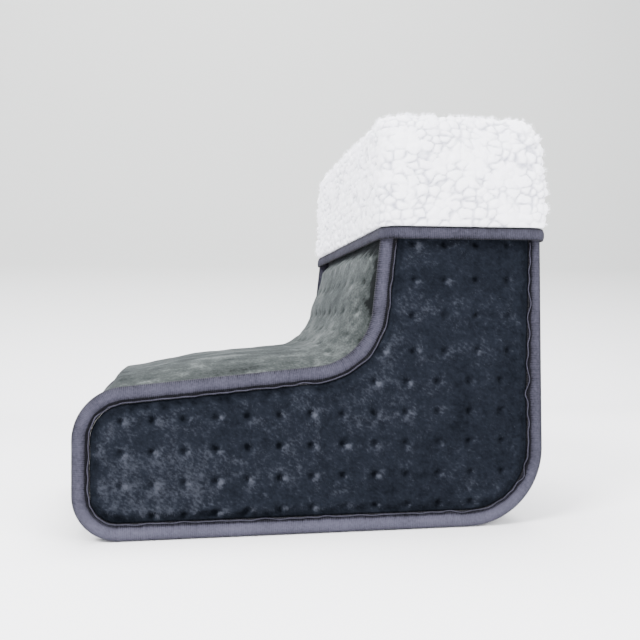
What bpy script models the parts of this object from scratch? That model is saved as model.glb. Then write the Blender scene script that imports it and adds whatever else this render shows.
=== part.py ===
"""Electric foot warmer: a padded two-foot boot with a heated footbed and a turned-down sherpa cuff.

Metres, +Z up. The toe points to -X, the heel to +X, and the wearer's left side is at -Y. The origin
is on the floor, in the middle of the boot's length and width.
"""
import math

import bmesh
import bpy
from mathutils import Vector
from mathutils.geometry import delaunay_2d_cdt

mm = 0.001

# Overall form
boot_length = 338.0 * mm
boot_width = 262.0 * mm
boot_height = 300.0 * mm
rim_drop = 10.0 * mm
toe_height = 102.6 * mm
instep_height = 121.2 * mm
shaft_depth_top = 112.3 * mm
shaft_depth_low = 132.6 * mm
toe_top_radius = 37.0 * mm
toe_low_radius = 32.0 * mm
instep_radius = 45.0 * mm
heel_radius = 57.0 * mm

# Layers of the wall, and the gap between layers
layer_gap = 0.4 * mm
touch_gap = 0.3 * mm
shell_thickness = 2.5 * mm
foam_thickness = 5.0 * mm
lining_thickness = 5.0 * mm
side_panel_thickness = 9.7 * mm

# How far the shell's edge lies inside the outline, and how far its middle stands from it
shell_edge_inset = 8.0 * mm
shaft_middle_inset = 4.2 * mm
back_middle_inset = 3.0 * mm
shaft_low_height = 178.0 * mm
shaft_low_crown = 5.0 * mm
bend_start_crown = 14.0 * mm
bend_crown = 17.0 * mm
foot_crown = 15.0 * mm
toe_start_crown = 9.2 * mm
toe_corner_inset = 1.0 * mm
toe_middle_inset = 2.5 * mm
toe_corner_share = 0.25
back_foam_inset = 10.0 * mm
foam_turn_degrees = 35.0
heel_turn_degrees = 50.0
front_crown_power = 5.0
flat_crown_power = 10.0

# Edge binding
binding_width = 12.0 * mm
binding_back_width = 8.0 * mm
binding_thickness = 7.0 * mm
binding_tape = 1.9 * mm
binding_lift = 0.4 * mm
binding_taper = 3.6 * mm
binding_taper_length = 18.0 * mm
binding_face_drop = 0.5 * mm
binding_round_share = 0.55
flange_thickness = 2.2 * mm
flange_clearance = 0.3 * mm

# Sewn tufts of the side panels
tuft_first_x = 33.0 * mm
tuft_pitch_x = 21.2 * mm
tuft_growth_share = 0.0058
tuft_first_z = 17.5 * mm
tuft_pitch_z = 22.0 * mm
tuft_shaft_pitch_z = 25.7 * mm
tuft_shaft_row = 5
tuft_shaft_shift = 6.0 * mm
tuft_columns = 14
tuft_rows = 11
tuft_depth = 3.2 * mm
tuft_saddle = 0.9 * mm
tuft_margin = 6.0 * mm
pad_ramp = 12.0 * mm
pad_top_drop = 12.0 * mm

# Mesh steps
run_step = 21.0 * mm
bend_step = math.radians(14.0)
station_gap = 2.0 * mm
panel_columns = 8
layer_columns = 4
closing_steps = 5
merge_distance = 0.0001 * mm

# Cuff and its hem
cuff_drop = 92.6 * mm
hem_height = 10.0 * mm
hem_thickness = 5.2 * mm
hem_tape = 1.1 * mm
hem_front_stand = 1.6 * mm
hem_back_stand = 2.6 * mm
hem_side_stand = 6.8 * mm
cuff_side_stand = 9.5 * mm
cuff_bulge = 1.6 * mm
cuff_high_side_stand = 7.6 * mm
cuff_front_flare = 6.0 * mm
cuff_belly_flare_share = 0.25
cuff_high_flare_share = 0.7
cuff_front_stand = 1.4 * mm
cuff_back_share = 0.4
tongue_thickness = 2.0 * mm
cuff_low_share = 0.14
cuff_belly_share = 0.34
cuff_high_share = 0.76
crest_start_share = 0.35
crest_drop_share = 0.45
crest_back_share = 0.8
crest_inner_share = 0.5
crest_dip_share = 0.25
cuff_front_inner = 3.6 * mm
cuff_back_inner = 2.6 * mm
cuff_crest_radius = 11.0 * mm
cuff_corner_radius = 12.0 * mm
hem_corner_radius = 9.0 * mm
hem_inner_radius = 3.0 * mm
cuff_inner_radius = 7.0 * mm
cuff_cavity_clearance = 1.0 * mm
cuff_leg_height = 20.0 * mm
ring_corner_steps = 5
ring_side_steps = 5

# Footbed and heating pad
sole_thickness = 3.0 * mm
base_half_width = 98.0 * mm
base_clearance = 2.0 * mm
sole_foam_thickness = 7.0 * mm
plate_corner_radius = 26.0 * mm
felt_thickness = 1.0 * mm
felt_margin = 4.0 * mm
footbed_half_width = 105.0 * mm
footbed_thickness = 7.0 * mm
footbed_toe_inset = 24.0 * mm
footbed_heel_inset = 37.0 * mm
wire_diameter = 2.6 * mm
wire_spacing = 22.0 * mm
wire_runs = 8
wire_end_inset = 24.0 * mm
tube_sides = 6
wire_turn_steps = 6
plate_corner_steps = 6

# Safety parts of the heating pad
thermostat_radius = 6.0 * mm
thermostat_height = 3.8 * mm
rim_share = 0.8
rim_low_share = 0.3
fuse_radius = 1.7 * mm
fuse_length = 14.0 * mm
fuse_cap_radius = 1.2 * mm
fuse_cap_length = 3.0 * mm
sensor_radius = 1.5 * mm
sensor_length = 9.0 * mm
splice_length = 16.0 * mm
splice_width = 12.0 * mm
splice_height = 3.8 * mm
lead_diameter = 3.4 * mm
lead_inset = 7.9 * mm
lead_sides = 8

# Zip in the back
zip_height = 84.0 * mm
zip_centre_y = -23.0 * mm
zip_length = 128.0 * mm
zip_inset = 6.5 * mm
tape_thickness = 0.8 * mm
tape_width = 11.0 * mm
tooth_pitch = 4.0 * mm
tooth_width = 1.65 * mm
tooth_reach = 1.1 * mm
tooth_lead_share = 0.3
bead_width = 1.8 * mm
chain_thickness = 2.4 * mm
slit_height = 13.0 * mm
slit_overrun = 9.0 * mm
slider_length = 12.0 * mm
slider_clearance = 0.35 * mm
slider_plate = 1.2 * mm
slider_rim = 1.0 * mm
slider_tail_share = 0.72
bridge_length = 3.0 * mm
bridge_width = 1.6 * mm
crown_length = 7.0 * mm
crown_width = 2.4 * mm
crown_thickness = 0.9 * mm
crown_gap = 2.2 * mm
pull_bar = 1.4 * mm
pull_width = 7.6 * mm
pull_window = 3.6 * mm
pull_window_length = 4.0 * mm
pull_length = 27.0 * mm
pull_tip_width = 5.4 * mm
stop_length = 3.0 * mm
stop_wall = 0.9 * mm

# Inlet for the detachable lead
inlet_from_zip = 39.0 * mm
inlet_flange_width = 38.0 * mm
inlet_flange_height = 28.0 * mm
inlet_flange_thickness = 2.0 * mm
inlet_width = 26.0 * mm
inlet_height = 16.0 * mm
inlet_wall = 1.8 * mm
inlet_floor = 2.0 * mm
inlet_floor_inset = 12.4 * mm
inlet_corner = 3.5 * mm
inlet_fit = 0.4 * mm
inlet_corner_steps = 3
clamp_border = 3.4 * mm
clamp_thickness = 1.8 * mm
pin_radius = 1.2 * mm
pin_length = 5.5 * mm
pin_tail = 0.9 * mm
pin_spacing = 7.0 * mm
overrun = 4.0 * mm

rim_height = boot_height - rim_drop
inlet_y = zip_centre_y + zip_length / 2 + inlet_from_zip
cuff_overhang = hem_back_stand + (cuff_front_stand + cuff_bulge) * cuff_back_share
half_width = boot_width / 2
toe_x = -(boot_length + cuff_overhang) / 2
heel_x = toe_x + boot_length
hem_z = boot_height - cuff_drop
hem_top = hem_z + hem_height
shell_half = half_width - side_panel_thickness - layer_gap
foam_half = shell_half - foam_thickness - layer_gap
lining_half = foam_half - lining_thickness - 2 * layer_gap
lining_top = rim_height - cuff_leg_height / 2
binding_middle = half_width - binding_face_drop - binding_thickness / 2
binding_top = hem_z + hem_height / 2
lining_edge_inset = shell_edge_inset + shell_thickness + foam_thickness + 3 * layer_gap
back_lining_inset = back_foam_inset + foam_thickness + layer_gap


def start_clean():
    for old in list(bpy.data.objects):
        bpy.data.objects.remove(old, do_unlink=True)


def finish(name, colour, roughness, metallic=0.0):
    """A plain material with the piece's colour, roughness and metallic value."""
    made = bpy.data.materials.new(name)
    made.use_nodes = True
    shader = made.node_tree.nodes["Principled BSDF"]
    shader.inputs["Base Color"].default_value = (*colour, 1.0)
    shader.inputs["Roughness"].default_value = roughness
    shader.inputs["Metallic"].default_value = metallic
    made.diffuse_color = (*colour, 1.0)
    return made


def solid(name, bm, material, smooth_angle=math.radians(40.0)):
    """One named object from a closed bmesh, its faces turned outwards."""
    bmesh.ops.recalc_face_normals(bm, faces=bm.faces)
    mesh = bpy.data.meshes.new(name)
    bm.to_mesh(mesh)
    bm.free()
    mesh.materials.append(material)
    mesh.shade_smooth()
    mesh.set_sharp_from_angle(angle=smooth_angle)
    made = bpy.data.objects.new(name, mesh)
    bpy.context.scene.collection.objects.link(made)
    return made


# Side outline: straight runs and bends, from the front of the rim round the foot to the back


def outline_corners():
    return [
        (Vector((heel_x - shaft_depth_top, rim_height)), 0.0),
        (Vector((heel_x - shaft_depth_low, instep_height)), instep_radius),
        (Vector((toe_x, toe_height)), toe_top_radius),
        (Vector((toe_x, 0.0)), toe_low_radius),
        (Vector((heel_x, 0.0)), heel_radius),
        (Vector((heel_x, rim_height)), 0.0),
    ]


def outward(direction):
    return Vector((direction.y, -direction.x))


def outline_runs():
    """Each run has its start along the outline, its length, and its line or its arc."""
    corners = outline_corners()
    names = ["shaft_front", "foot_top", "toe_front", "sole", "back"]
    bends = ["instep_bend", "toe_top_bend", "toe_low_bend", "heel_bend"]
    runs = []
    along = 0.0
    start = corners[0][0]
    for index, name in enumerate(names):
        corner, radius = corners[index + 1]
        heading = (corner - corners[index][0]).normalized()
        last = index == len(names) - 1
        turn = 0.0
        if not last:
            following = (corners[index + 2][0] - corner).normalized()
            turn = math.atan2(heading.cross(following), heading.dot(following))
        end = corner - heading * radius * math.tan(abs(turn) / 2)
        length = (end - start).length
        runs.append({"name": name, "from": along, "length": length, "start": start,
                     "heading": heading, "turn": 0.0})
        along += length
        if not last:
            arc = radius * abs(turn)
            runs.append({"name": bends[index], "from": along, "length": arc, "start": end,
                         "heading": heading, "turn": turn})
            along += arc
            start = corner + following * radius * math.tan(abs(turn) / 2)
    return runs


runs = outline_runs()
start_of = {run["name"]: run["from"] for run in runs}
end_of = {run["name"]: run["from"] + run["length"] for run in runs}
outline_length = end_of["back"]


def walk(along):
    """The point and the outward normal at a distance along the outline."""
    run = next((r for r in runs if along <= r["from"] + r["length"]), runs[-1])
    step = along - run["from"]
    if run["turn"] == 0.0:
        return run["start"] + run["heading"] * step, outward(run["heading"])
    radius = run["length"] / abs(run["turn"])
    side = math.copysign(1.0, run["turn"])
    to_centre = -outward(run["heading"]) * side
    angle = side * step / radius
    spoke = -to_centre
    turned = Vector((spoke.x * math.cos(angle) - spoke.y * math.sin(angle),
                     spoke.x * math.sin(angle) + spoke.y * math.cos(angle)))
    return run["start"] + (to_centre + turned) * radius, turned * side


def stations(first, last):
    """Distances along the outline, denser round the bends, and the same for every layer."""
    marks = [front_mark(binding_top), back_mark(binding_top)]
    for run in runs:
        step = bend_step if run["turn"] else run_step
        count = max(1, round((abs(run["turn"]) or run["length"]) / step))
        marks += [run["from"] + run["length"] * (k + 1) / count for k in range(count)]
    inner = sorted(mark for mark in marks if first + station_gap < mark < last - station_gap)
    return [first] + inner + [last]


def front_x(z):
    """Where the front line of the shaft lies at a height."""
    top, low = outline_corners()[0][0], outline_corners()[1][0]
    return low.x + (top.x - low.x) * (z - low.y) / (top.y - low.y)


def front_mark(z):
    """The distance along the outline at a height on the front of the shaft."""
    heading = runs[0]["heading"]
    return (z - rim_height) / heading.y


def back_mark(z):
    return start_of["back"] + z - heel_radius


def ease(value):
    value = min(max(value, 0.0), 1.0)
    return value * value * (3.0 - 2.0 * value)


def blend(along, table):
    """A value eased between the places of a table along the outline."""
    if along <= table[0][0]:
        return table[0][1]
    for (a, low), (b, high) in zip(table, table[1:]):
        if along <= b:
            return low + (high - low) * ease((along - a) / (b - a))
    return table[-1][1]


toe_bend_length = end_of["toe_top_bend"] - start_of["toe_top_bend"]
middle_insets = [
    (front_mark(hem_z), shaft_middle_inset),
    (front_mark(shaft_low_height), -shaft_low_crown),
    (start_of["instep_bend"], -bend_start_crown),
    ((start_of["instep_bend"] + end_of["instep_bend"]) / 2, -bend_crown),
    (end_of["instep_bend"], -foot_crown),
    ((start_of["foot_top"] + end_of["foot_top"]) / 2, -foot_crown),
    (end_of["foot_top"], -toe_start_crown),
    (start_of["toe_top_bend"] + toe_bend_length * toe_corner_share, toe_corner_inset),
    (start_of["toe_top_bend"] + toe_bend_length / 2, toe_middle_inset),
    (end_of["toe_top_bend"], 0.0),
    (start_of["heel_bend"], 0.0),
    (start_of["back"], back_middle_inset),
]
crown_powers = [
    (start_of["toe_front"], front_crown_power),
    (start_of["sole"], flat_crown_power),
]


def shell_inset(along, y):
    """How far the shell's outer face lies inside the outline, at a place across the boot."""
    middle = blend(along, middle_insets)
    power = blend(along, crown_powers)
    share = min(abs(y) / shell_half, 1.0)
    return middle + (shell_edge_inset - middle) * share ** power


def binding_edge(along):
    """The binding's outer edge, drawn in where it runs up under the hem."""
    low = hem_z - hem_tape
    front, back = front_mark(low), back_mark(low)
    near = min(along - front, back - along)
    return binding_lift + binding_taper * (1.0 - ease(near / binding_taper_length))


def binding_reach(along):
    return blend(along, [(start_of["heel_bend"], binding_width),
                         (back_mark(zip_height), binding_width),
                         (back_mark(binding_top), binding_back_width)])


def trace(marks, inset):
    points = []
    for along in marks:
        point, normal = walk(along)
        points.append(point - normal * inset(along))
    return points


# Mesh builders


def grid_solid(name, material, outer, inner):
    """A closed sheet between two grids of points."""
    bm = bmesh.new()
    tops = [[bm.verts.new(p) for p in row] for row in outer]
    lows = [[bm.verts.new(p) for p in row] for row in inner]
    rows, columns = len(outer), len(outer[0])
    for grid in (tops, lows):
        for i in range(rows - 1):
            for j in range(columns - 1):
                bm.faces.new((grid[i][j], grid[i + 1][j], grid[i + 1][j + 1], grid[i][j + 1]))
    for i in range(rows - 1):
        for j in (0, columns - 1):
            bm.faces.new((tops[i][j], tops[i + 1][j], lows[i + 1][j], lows[i][j]))
    for j in range(columns - 1):
        for i in (0, rows - 1):
            bm.faces.new((tops[i][j], tops[i][j + 1], lows[i][j + 1], lows[i][j]))
    return solid(name, bm, material)


def wrap(name, material, first, last, half, columns, outer_inset, thickness):
    """A layer that follows the outline from one side of the boot to the other.

    Every layer has a column where a layer inside it ends, so that their curves run alike.
    """
    edges = [edge for edge in (lining_half, foam_half, half) if edge <= half]
    reach = [shell_half * (2 * k / columns - 1.0) for k in range(1, columns)]
    ys = [-edge for edge in reversed(edges)] + reach + edges

    def face(extra):
        grid = []
        for along in stations(first, last):
            point, normal = walk(along)
            row = []
            for y in ys:
                place = point - normal * (outer_inset(along, y) + extra)
                row.append(Vector((place.x, y, place.y)))
            grid.append(row)
        return grid

    return grid_solid(name, material, face(0.0), face(thickness))


def ring_solid(name, material, sections):
    """A closed ring whose section is the closed list of loops."""
    bm = bmesh.new()
    loops = [[bm.verts.new(p) for p in loop] for loop in sections]
    for i, loop in enumerate(loops):
        following = loops[(i + 1) % len(loops)]
        for j in range(len(loop)):
            k = (j + 1) % len(loop)
            bm.faces.new((loop[j], loop[k], following[k], following[j]))
    return solid(name, bm, material)


def sweep_solid(name, material, sections):
    """A strip with the same closed section at each place, capped at both ends."""
    bm = bmesh.new()
    loops = [[bm.verts.new(p) for p in section] for section in sections]
    for loop, following in zip(loops, loops[1:]):
        for j in range(len(loop)):
            k = (j + 1) % len(loop)
            bm.faces.new((loop[j], loop[k], following[k], following[j]))
    bm.faces.new(loops[0])
    bm.faces.new(loops[-1])
    return solid(name, bm, material)


def prism(name, material, low_loop, high_loop):
    return sweep_solid(name, material, [low_loop, high_loop])


def box(name, material, low, high):
    (x0, y0, z0), (x1, y1, z1) = low, high
    lower = [(x0, y0, z0), (x1, y0, z0), (x1, y1, z0), (x0, y1, z0)]
    upper = [(x, y, z1) for x, y, z in lower]
    return prism(name, material, lower, upper)


def tube(name, material, points, radius, sides=tube_sides):
    """A round wire along a list of points, its section carried on without twist."""
    points = [Vector(p) for p in points]
    across = None
    sections = []
    for index, point in enumerate(points):
        before = points[max(index - 1, 0)]
        after = points[min(index + 1, len(points) - 1)]
        heading = (after - before).normalized()
        if across is None:
            across = heading.orthogonal().normalized()
        across = (across - heading * across.dot(heading)).normalized()
        other = heading.cross(across)
        ring = []
        for k in range(sides):
            angle = math.tau * k / sides
            ring.append(point + (across * math.cos(angle) + other * math.sin(angle)) * radius)
        sections.append(ring)
    return sweep_solid(name, material, sections)


def lathe(name, material, centre, axis, profile, sides=12):
    """A round piece from (distance along, radius) pairs, with flat ends."""
    axis = Vector(axis)
    across = axis.orthogonal().normalized()
    other = axis.cross(across)
    sections = []
    for reach, radius in profile:
        ring = []
        for k in range(sides):
            angle = math.tau * k / sides
            ring.append(Vector(centre) + axis * reach
                        + (across * math.cos(angle) + other * math.sin(angle)) * radius)
        sections.append(ring)
    return sweep_solid(name, material, sections)


def rounded_rectangle(x0, x1, y0, y1, radius, corner_steps, side_steps=1):
    """Corner arcs joined by straight sides, anticlockwise, the same count for any size."""
    centres = [(x1 - radius, y1 - radius, 0), (x0 + radius, y1 - radius, 1),
               (x0 + radius, y0 + radius, 2), (x1 - radius, y0 + radius, 3)]
    points = []
    for cx, cy, quarter in centres:
        arc = []
        for k in range(corner_steps + 1):
            angle = math.pi / 2 * (quarter + k / corner_steps)
            arc.append((cx + radius * math.cos(angle), cy + radius * math.sin(angle)))
        if points:
            points += between(points[-1], arc[0], side_steps)
        points += arc
    points += between(points[-1], points[0], side_steps)
    return points


def between(a, b, steps):
    return [tuple(p + (q - p) * k / steps for p, q in zip(a, b)) for k in range(1, steps)]


def combine(target, others, operation):
    """Booleans applied in turn, leaving one mesh and no helper objects."""
    for other in others:
        modifier = target.modifiers.new(operation.lower(), "BOOLEAN")
        modifier.operation = operation
        modifier.solver = "EXACT"
        modifier.object = other
    depsgraph = bpy.context.evaluated_depsgraph_get()
    mesh = bpy.data.meshes.new_from_object(target.evaluated_get(depsgraph))
    target.modifiers.clear()
    target.data = mesh
    mesh.name = target.name
    for other in others:
        bpy.data.objects.remove(other, do_unlink=True)
    return target


# Plush side panels


def tuft(column, row):
    """A tuft's place on the side: the pitch grows to the heel, and again up the shaft."""
    x = toe_x + tuft_first_x + tuft_pitch_x * column * (1.0 + tuft_growth_share * column)
    if row <= tuft_shaft_row:
        z = tuft_first_z + tuft_pitch_z * row
    else:
        z = tuft_first_z + tuft_pitch_z * tuft_shaft_row
        z += tuft_shaft_pitch_z * (row - tuft_shaft_row)
    x += tuft_shaft_shift * ease(row - tuft_shaft_row + 1.0)
    return Vector((x, z))


def edge_distance(point, loop):
    nearest = boot_length
    for a, b in zip(loop, loop[1:] + loop[:1]):
        side = b - a
        share = min(max((point - a).dot(side) / side.length_squared, 0.0), 1.0)
        nearest = min(nearest, (point - a - side * share).length)
    return nearest


def inside(point, loop):
    odd = False
    for a, b in zip(loop, loop[1:] + loop[:1]):
        if (a.y > point.y) != (b.y > point.y):
            if point.x < a.x + (b.x - a.x) * (point.y - a.y) / (b.y - a.y):
                odd = not odd
    return odd


def closed_side(marks, inset, top):
    """The outline at an inset, closed straight across below the rim."""
    loop = [Vector((p.x, min(p.y, top))) for p in trace(marks, inset)]
    return loop + [Vector(p) for p in between(loop[-1], loop[0], closing_steps)]


def side_panel(name, side, material):
    marks = stations(0.0, outline_length)
    pad = closed_side(marks, lambda s: binding_edge(s) + binding_reach(s) + flange_clearance,
                      rim_height - pad_top_drop)
    flange = closed_side(marks, lambda s: binding_edge(s) + binding_tape + flange_clearance,
                         rim_height)
    spots = []
    for column in range(-1, 2 * tuft_columns):
        for row in range(-1, 2 * tuft_rows):
            spot = tuft(column / 2, row / 2)
            if inside(spot, pad) and edge_distance(spot, pad) > tuft_margin:
                sewn = column % 2 == 0 and row % 2 == 0
                saddle = (column + row) % 2 == 1
                spots.append((spot, tuft_depth if sewn else tuft_saddle if saddle else 0.0))
    count = len(pad)
    points = pad + [spot for spot, _ in spots]
    verts, _, faces, origins, _, _ = delaunay_2d_cdt(points, [], [list(range(count))], 1,
                                                       merge_distance)
    order = {origin: index for index, group in enumerate(origins) for origin in group}

    back_y = half_width - side_panel_thickness
    flange_low = binding_middle - flange_thickness / 2
    flange_high = binding_middle + flange_thickness / 2
    bm = bmesh.new()

    def put(point, y):
        return bm.verts.new((point.x, side * y, point.y))

    dips = {order[count + k]: dip for k, (_, dip) in enumerate(spots)}
    front = []
    for index, point in enumerate(verts):
        if index in dips:
            rise = ease(edge_distance(point, pad) / pad_ramp)
            y = flange_high + (half_width - flange_high) * rise - dips[index]
        else:
            y = flange_high
        front.append(put(point, y))
    for face in faces:
        bm.faces.new([front[index] for index in face])
    rings = [[front[order[k]] for k in range(count)],
             [put(p, flange_high) for p in flange],
             [put(p, flange_low) for p in flange],
             [put(p, flange_low) for p in pad],
             [put(p, back_y) for p in pad]]
    for ring, following in zip(rings, rings[1:]):
        for j in range(count):
            k = (j + 1) % count
            bm.faces.new((ring[j], ring[k], following[k], following[j]))
    bm.faces.new(rings[-1])
    return solid(name, bm, material)


def side_layer(name, side, material, inset, low, high, top):
    """A flat layer of the side wall inside the wrapped layer outside it."""
    marks = stations(0.0, outline_length)
    loop = closed_side(marks, lambda s: inset, top)
    return prism(name, material, [(p.x, side * low, p.y) for p in loop],
                 [(p.x, side * high, p.y) for p in loop])


# Binding tape, folded over the flange of a side panel


def binding(name, side, material):
    marks = stations(front_mark(binding_top), back_mark(binding_top))
    half = binding_thickness / 2
    groove = flange_thickness / 2 + flange_clearance
    sections = []
    for along in marks:
        point, normal = walk(along)
        edge, reach = binding_edge(along), binding_reach(along)
        shape = [(reach, half), (half * binding_round_share, half), (0.0, 0.0),
                 (half * binding_round_share, -half), (reach, -half), (reach, -groove),
                 (binding_tape, -groove), (binding_tape, groove), (reach, groove)]
        section = []
        for depth, off in shape:
            place = point - normal * (edge + depth)
            section.append((place.x, side * (binding_middle + off), place.y))
        sections.append(section)
    return sweep_solid(name, material, sections)


# Cuff and hem


def cuff_loop(front, back, side, z, radius):
    """A rounded rectangle round the shaft, standing off the outline by the given amounts."""
    flat = rounded_rectangle(front_x(z) - front, heel_x + back, -half_width - side,
                             half_width + side, radius, ring_corner_steps, ring_side_steps)
    return [(x, y, z) for x, y in flat]


def hem_corner(depth):
    """The corner tightens through the hem, to go round the bindings inside it."""
    share = depth / hem_thickness
    return hem_corner_radius + (hem_inner_radius - hem_corner_radius) * share


def hem_loop(depth, z, radius, bulge=0.0, wide=0.0):
    """A loop at a depth inside the hem's outer face, or bulging out from it."""
    return cuff_loop(hem_front_stand - depth + bulge,
                     hem_back_stand - depth + bulge * cuff_back_share,
                     hem_side_stand - depth + wide, z, radius)


def cuff(material):
    """Up the outside from the hem, over the rim, and down the inside to the lining."""
    height = boot_height - hem_top
    skin = cuff_side_stand - hem_side_stand
    full = cuff_front_stand + cuff_bulge
    leg_outer = lining_edge_inset
    leg_inner = leg_outer + lining_thickness
    back_outer = back_lining_inset
    back_inner = back_outer + lining_thickness
    side_outer = foam_half - layer_gap - half_width
    side_inner = side_outer - lining_thickness
    groove = hem_z + hem_tape + touch_gap
    seat = hem_top + touch_gap
    tongue = (hem_thickness - tongue_thickness) / 2
    tongue_end = tongue + tongue_thickness
    cavity = rim_height + cuff_cavity_clearance
    corner = cuff_corner_radius
    inner = cuff_inner_radius
    crest = cuff_crest_radius
    turn = crest * crest_inner_share
    shoulder = crest * crest_start_share
    leg_low = lining_top + layer_gap
    sections = [
        hem_loop(tongue, groove, hem_corner(tongue)),
        hem_loop(tongue, seat, hem_corner(tongue)),
        hem_loop(0.0, seat, hem_corner_radius),
        hem_loop(0.0, hem_top + height * cuff_low_share, corner, cuff_front_stand, skin),
        cuff_loop(hem_front_stand + full + cuff_front_flare * cuff_belly_flare_share,
                  cuff_overhang, cuff_side_stand + cuff_bulge, hem_top + height * cuff_belly_share,
                  corner),
        cuff_loop(hem_front_stand + full + cuff_front_flare * cuff_high_flare_share,
                  hem_back_stand, cuff_high_side_stand, hem_top + height * cuff_high_share, corner),
        cuff_loop(hem_front_stand + cuff_front_stand + cuff_front_flare, hem_back_stand - shoulder,
                  cuff_high_side_stand - shoulder, boot_height - crest * crest_drop_share, corner),
        cuff_loop(full + cuff_front_flare - crest, -crest * crest_back_share,
                  hem_side_stand - crest, boot_height, corner - crest * crest_inner_share),
        cuff_loop(-leg_inner + turn, -back_inner + turn, side_inner + turn,
                  boot_height - crest * crest_dip_share, inner),
        cuff_loop(-leg_inner, -back_inner, side_inner, boot_height - crest, inner),
        cuff_loop(-leg_inner, -back_inner, side_inner, leg_low, inner),
        cuff_loop(-leg_outer, -back_outer, side_outer, leg_low, inner),
        cuff_loop(-leg_outer, -back_outer, side_outer, cavity, inner),
        cuff_loop(-cuff_front_inner, -cuff_back_inner, layer_gap, cavity, inner),
        cuff_loop(-cuff_front_inner, -cuff_back_inner, layer_gap,
                  hem_top + height * cuff_low_share, inner),
        hem_loop(hem_thickness, seat, hem_inner_radius),
        hem_loop(tongue_end, seat, hem_corner(tongue_end)),
        hem_loop(tongue_end, groove, hem_corner(tongue_end)),
    ]
    return ring_solid("cuff", material, sections)


def cuff_hem_tape(material):
    """A channel of tape, open at its top, round the cuff's lower edge."""
    groove_outer = (hem_thickness - tongue_thickness) / 2 - touch_gap
    groove_inner = groove_outer + tongue_thickness + 2 * touch_gap
    floor = hem_z + hem_tape
    places = [
        (hem_tape / 2, hem_z), (0.0, floor), (0.0, hem_top), (groove_outer, hem_top),
        (groove_outer, floor), (groove_inner, floor), (groove_inner, hem_top),
        (hem_thickness, hem_top), (hem_thickness, floor), (hem_thickness - hem_tape / 2, hem_z),
    ]
    return ring_solid("cuff_hem_tape", material,
                      [hem_loop(depth, z, hem_corner(depth)) for depth, z in places])


# Footbed and heating pad


def plate(name, material, x0, x1, half, low, high):
    flat = rounded_rectangle(x0, x1, -half, half, plate_corner_radius,
                             plate_corner_steps)
    return prism(name, material, [(x, y, low) for x, y in flat], [(x, y, high) for x, y in flat])


def heating_pad(fabric, wire, metal, plastic):
    foam_low = sole_thickness + base_clearance
    foam_high = foam_low + sole_foam_thickness
    felt_low = foam_high + layer_gap
    floor = felt_low + felt_thickness
    felt_high = floor + max(thermostat_height, splice_height) + 2 * touch_gap
    footbed_low = felt_high + felt_thickness + layer_gap
    pad_x0 = toe_x + toe_low_radius
    pad_x1 = heel_x - heel_radius
    plate("sole_foam", fabric["foam"], pad_x0, pad_x1, base_half_width, foam_low, foam_high)
    half = base_half_width - felt_margin
    plate("heater_felt_lower", fabric["felt"], pad_x0 + felt_margin, pad_x1, half, felt_low, floor)
    plate("heater_felt_upper", fabric["felt"], pad_x0 + felt_margin, pad_x1, half, felt_high,
          felt_high + felt_thickness)
    plate("footbed_lining", fabric["sherpa"], toe_x + footbed_toe_inset,
          heel_x - footbed_heel_inset, footbed_half_width, footbed_low,
          footbed_low + footbed_thickness)

    z = floor + touch_gap + wire_diameter / 2
    x0, x1 = pad_x0 + wire_end_inset, pad_x1 - wire_end_inset
    y = -wire_spacing * (wire_runs - 1) / 2
    points = []
    for run in range(wire_runs):
        ends = (x1, x0) if run % 2 == 0 else (x0, x1)
        points += [(ends[0], y, z), ((x0 + x1) / 2, y, z), (ends[1], y, z)]
        if run < wire_runs - 1:
            swing = -1.0 if run % 2 == 0 else 1.0
            for k in range(1, wire_turn_steps):
                angle = math.pi * k / wire_turn_steps
                points.append((ends[1] + swing * wire_spacing / 2 * math.sin(angle),
                               y + wire_spacing / 2 * (1.0 - math.cos(angle)), z))
        y += wire_spacing
    tube("heating_wire", wire, points, wire_diameter / 2)

    centre_x = (x0 + x1) / 2
    lathe("thermostat", metal, (centre_x, 0.0, floor + touch_gap), (0, 0, 1),
          [(0.0, thermostat_radius * rim_share), (thermostat_height * rim_low_share,
            thermostat_radius * rim_share), (thermostat_height * rim_low_share, thermostat_radius),
           (thermostat_height, thermostat_radius)])
    part_y = wire_spacing * 2
    fuse_z = floor + touch_gap + fuse_radius
    reach = fuse_length / 2
    lathe("thermal_fuse", metal, (centre_x, part_y, fuse_z), (1, 0, 0),
          [(-reach - fuse_cap_length, fuse_cap_radius), (-reach, fuse_cap_radius),
           (-reach, fuse_radius), (reach, fuse_radius), (reach, fuse_cap_radius),
           (reach + fuse_cap_length, fuse_cap_radius)])
    reach = sensor_length / 2
    lathe("temperature_sensor", plastic, (centre_x, -part_y, floor + touch_gap + sensor_radius),
          (1, 0, 0), [(-reach, sensor_radius / 2), (-reach + sensor_radius, sensor_radius),
                      (reach - sensor_radius, sensor_radius), (reach, sensor_radius / 2)])
    splice_z = floor + touch_gap
    box("lead_splice", plastic, (pad_x1 - splice_length, inlet_y - splice_width / 2, splice_z),
        (pad_x1, inlet_y + splice_width / 2, splice_z + splice_height))
    lead_z = splice_z + splice_height / 2
    centre = Vector((heel_x - heel_radius, heel_radius))
    radius = heel_radius - lead_inset
    points = [(pad_x1 + touch_gap, inlet_y, lead_z), (pad_x1 + lead_diameter * 2, inlet_y, lead_z)]
    for degrees in (60.0, 48.0, 36.0, 24.0, 12.0, 0.0):
        angle = math.radians(degrees)
        points.append((centre.x + radius * math.cos(angle), inlet_y,
                       centre.y - radius * math.sin(angle)))
    points.append((heel_x - lead_inset, inlet_y, zip_height - inlet_height / 2 - touch_gap))
    tube("heater_lead", wire, points, lead_diameter / 2, lead_sides)


# Zip


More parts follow.
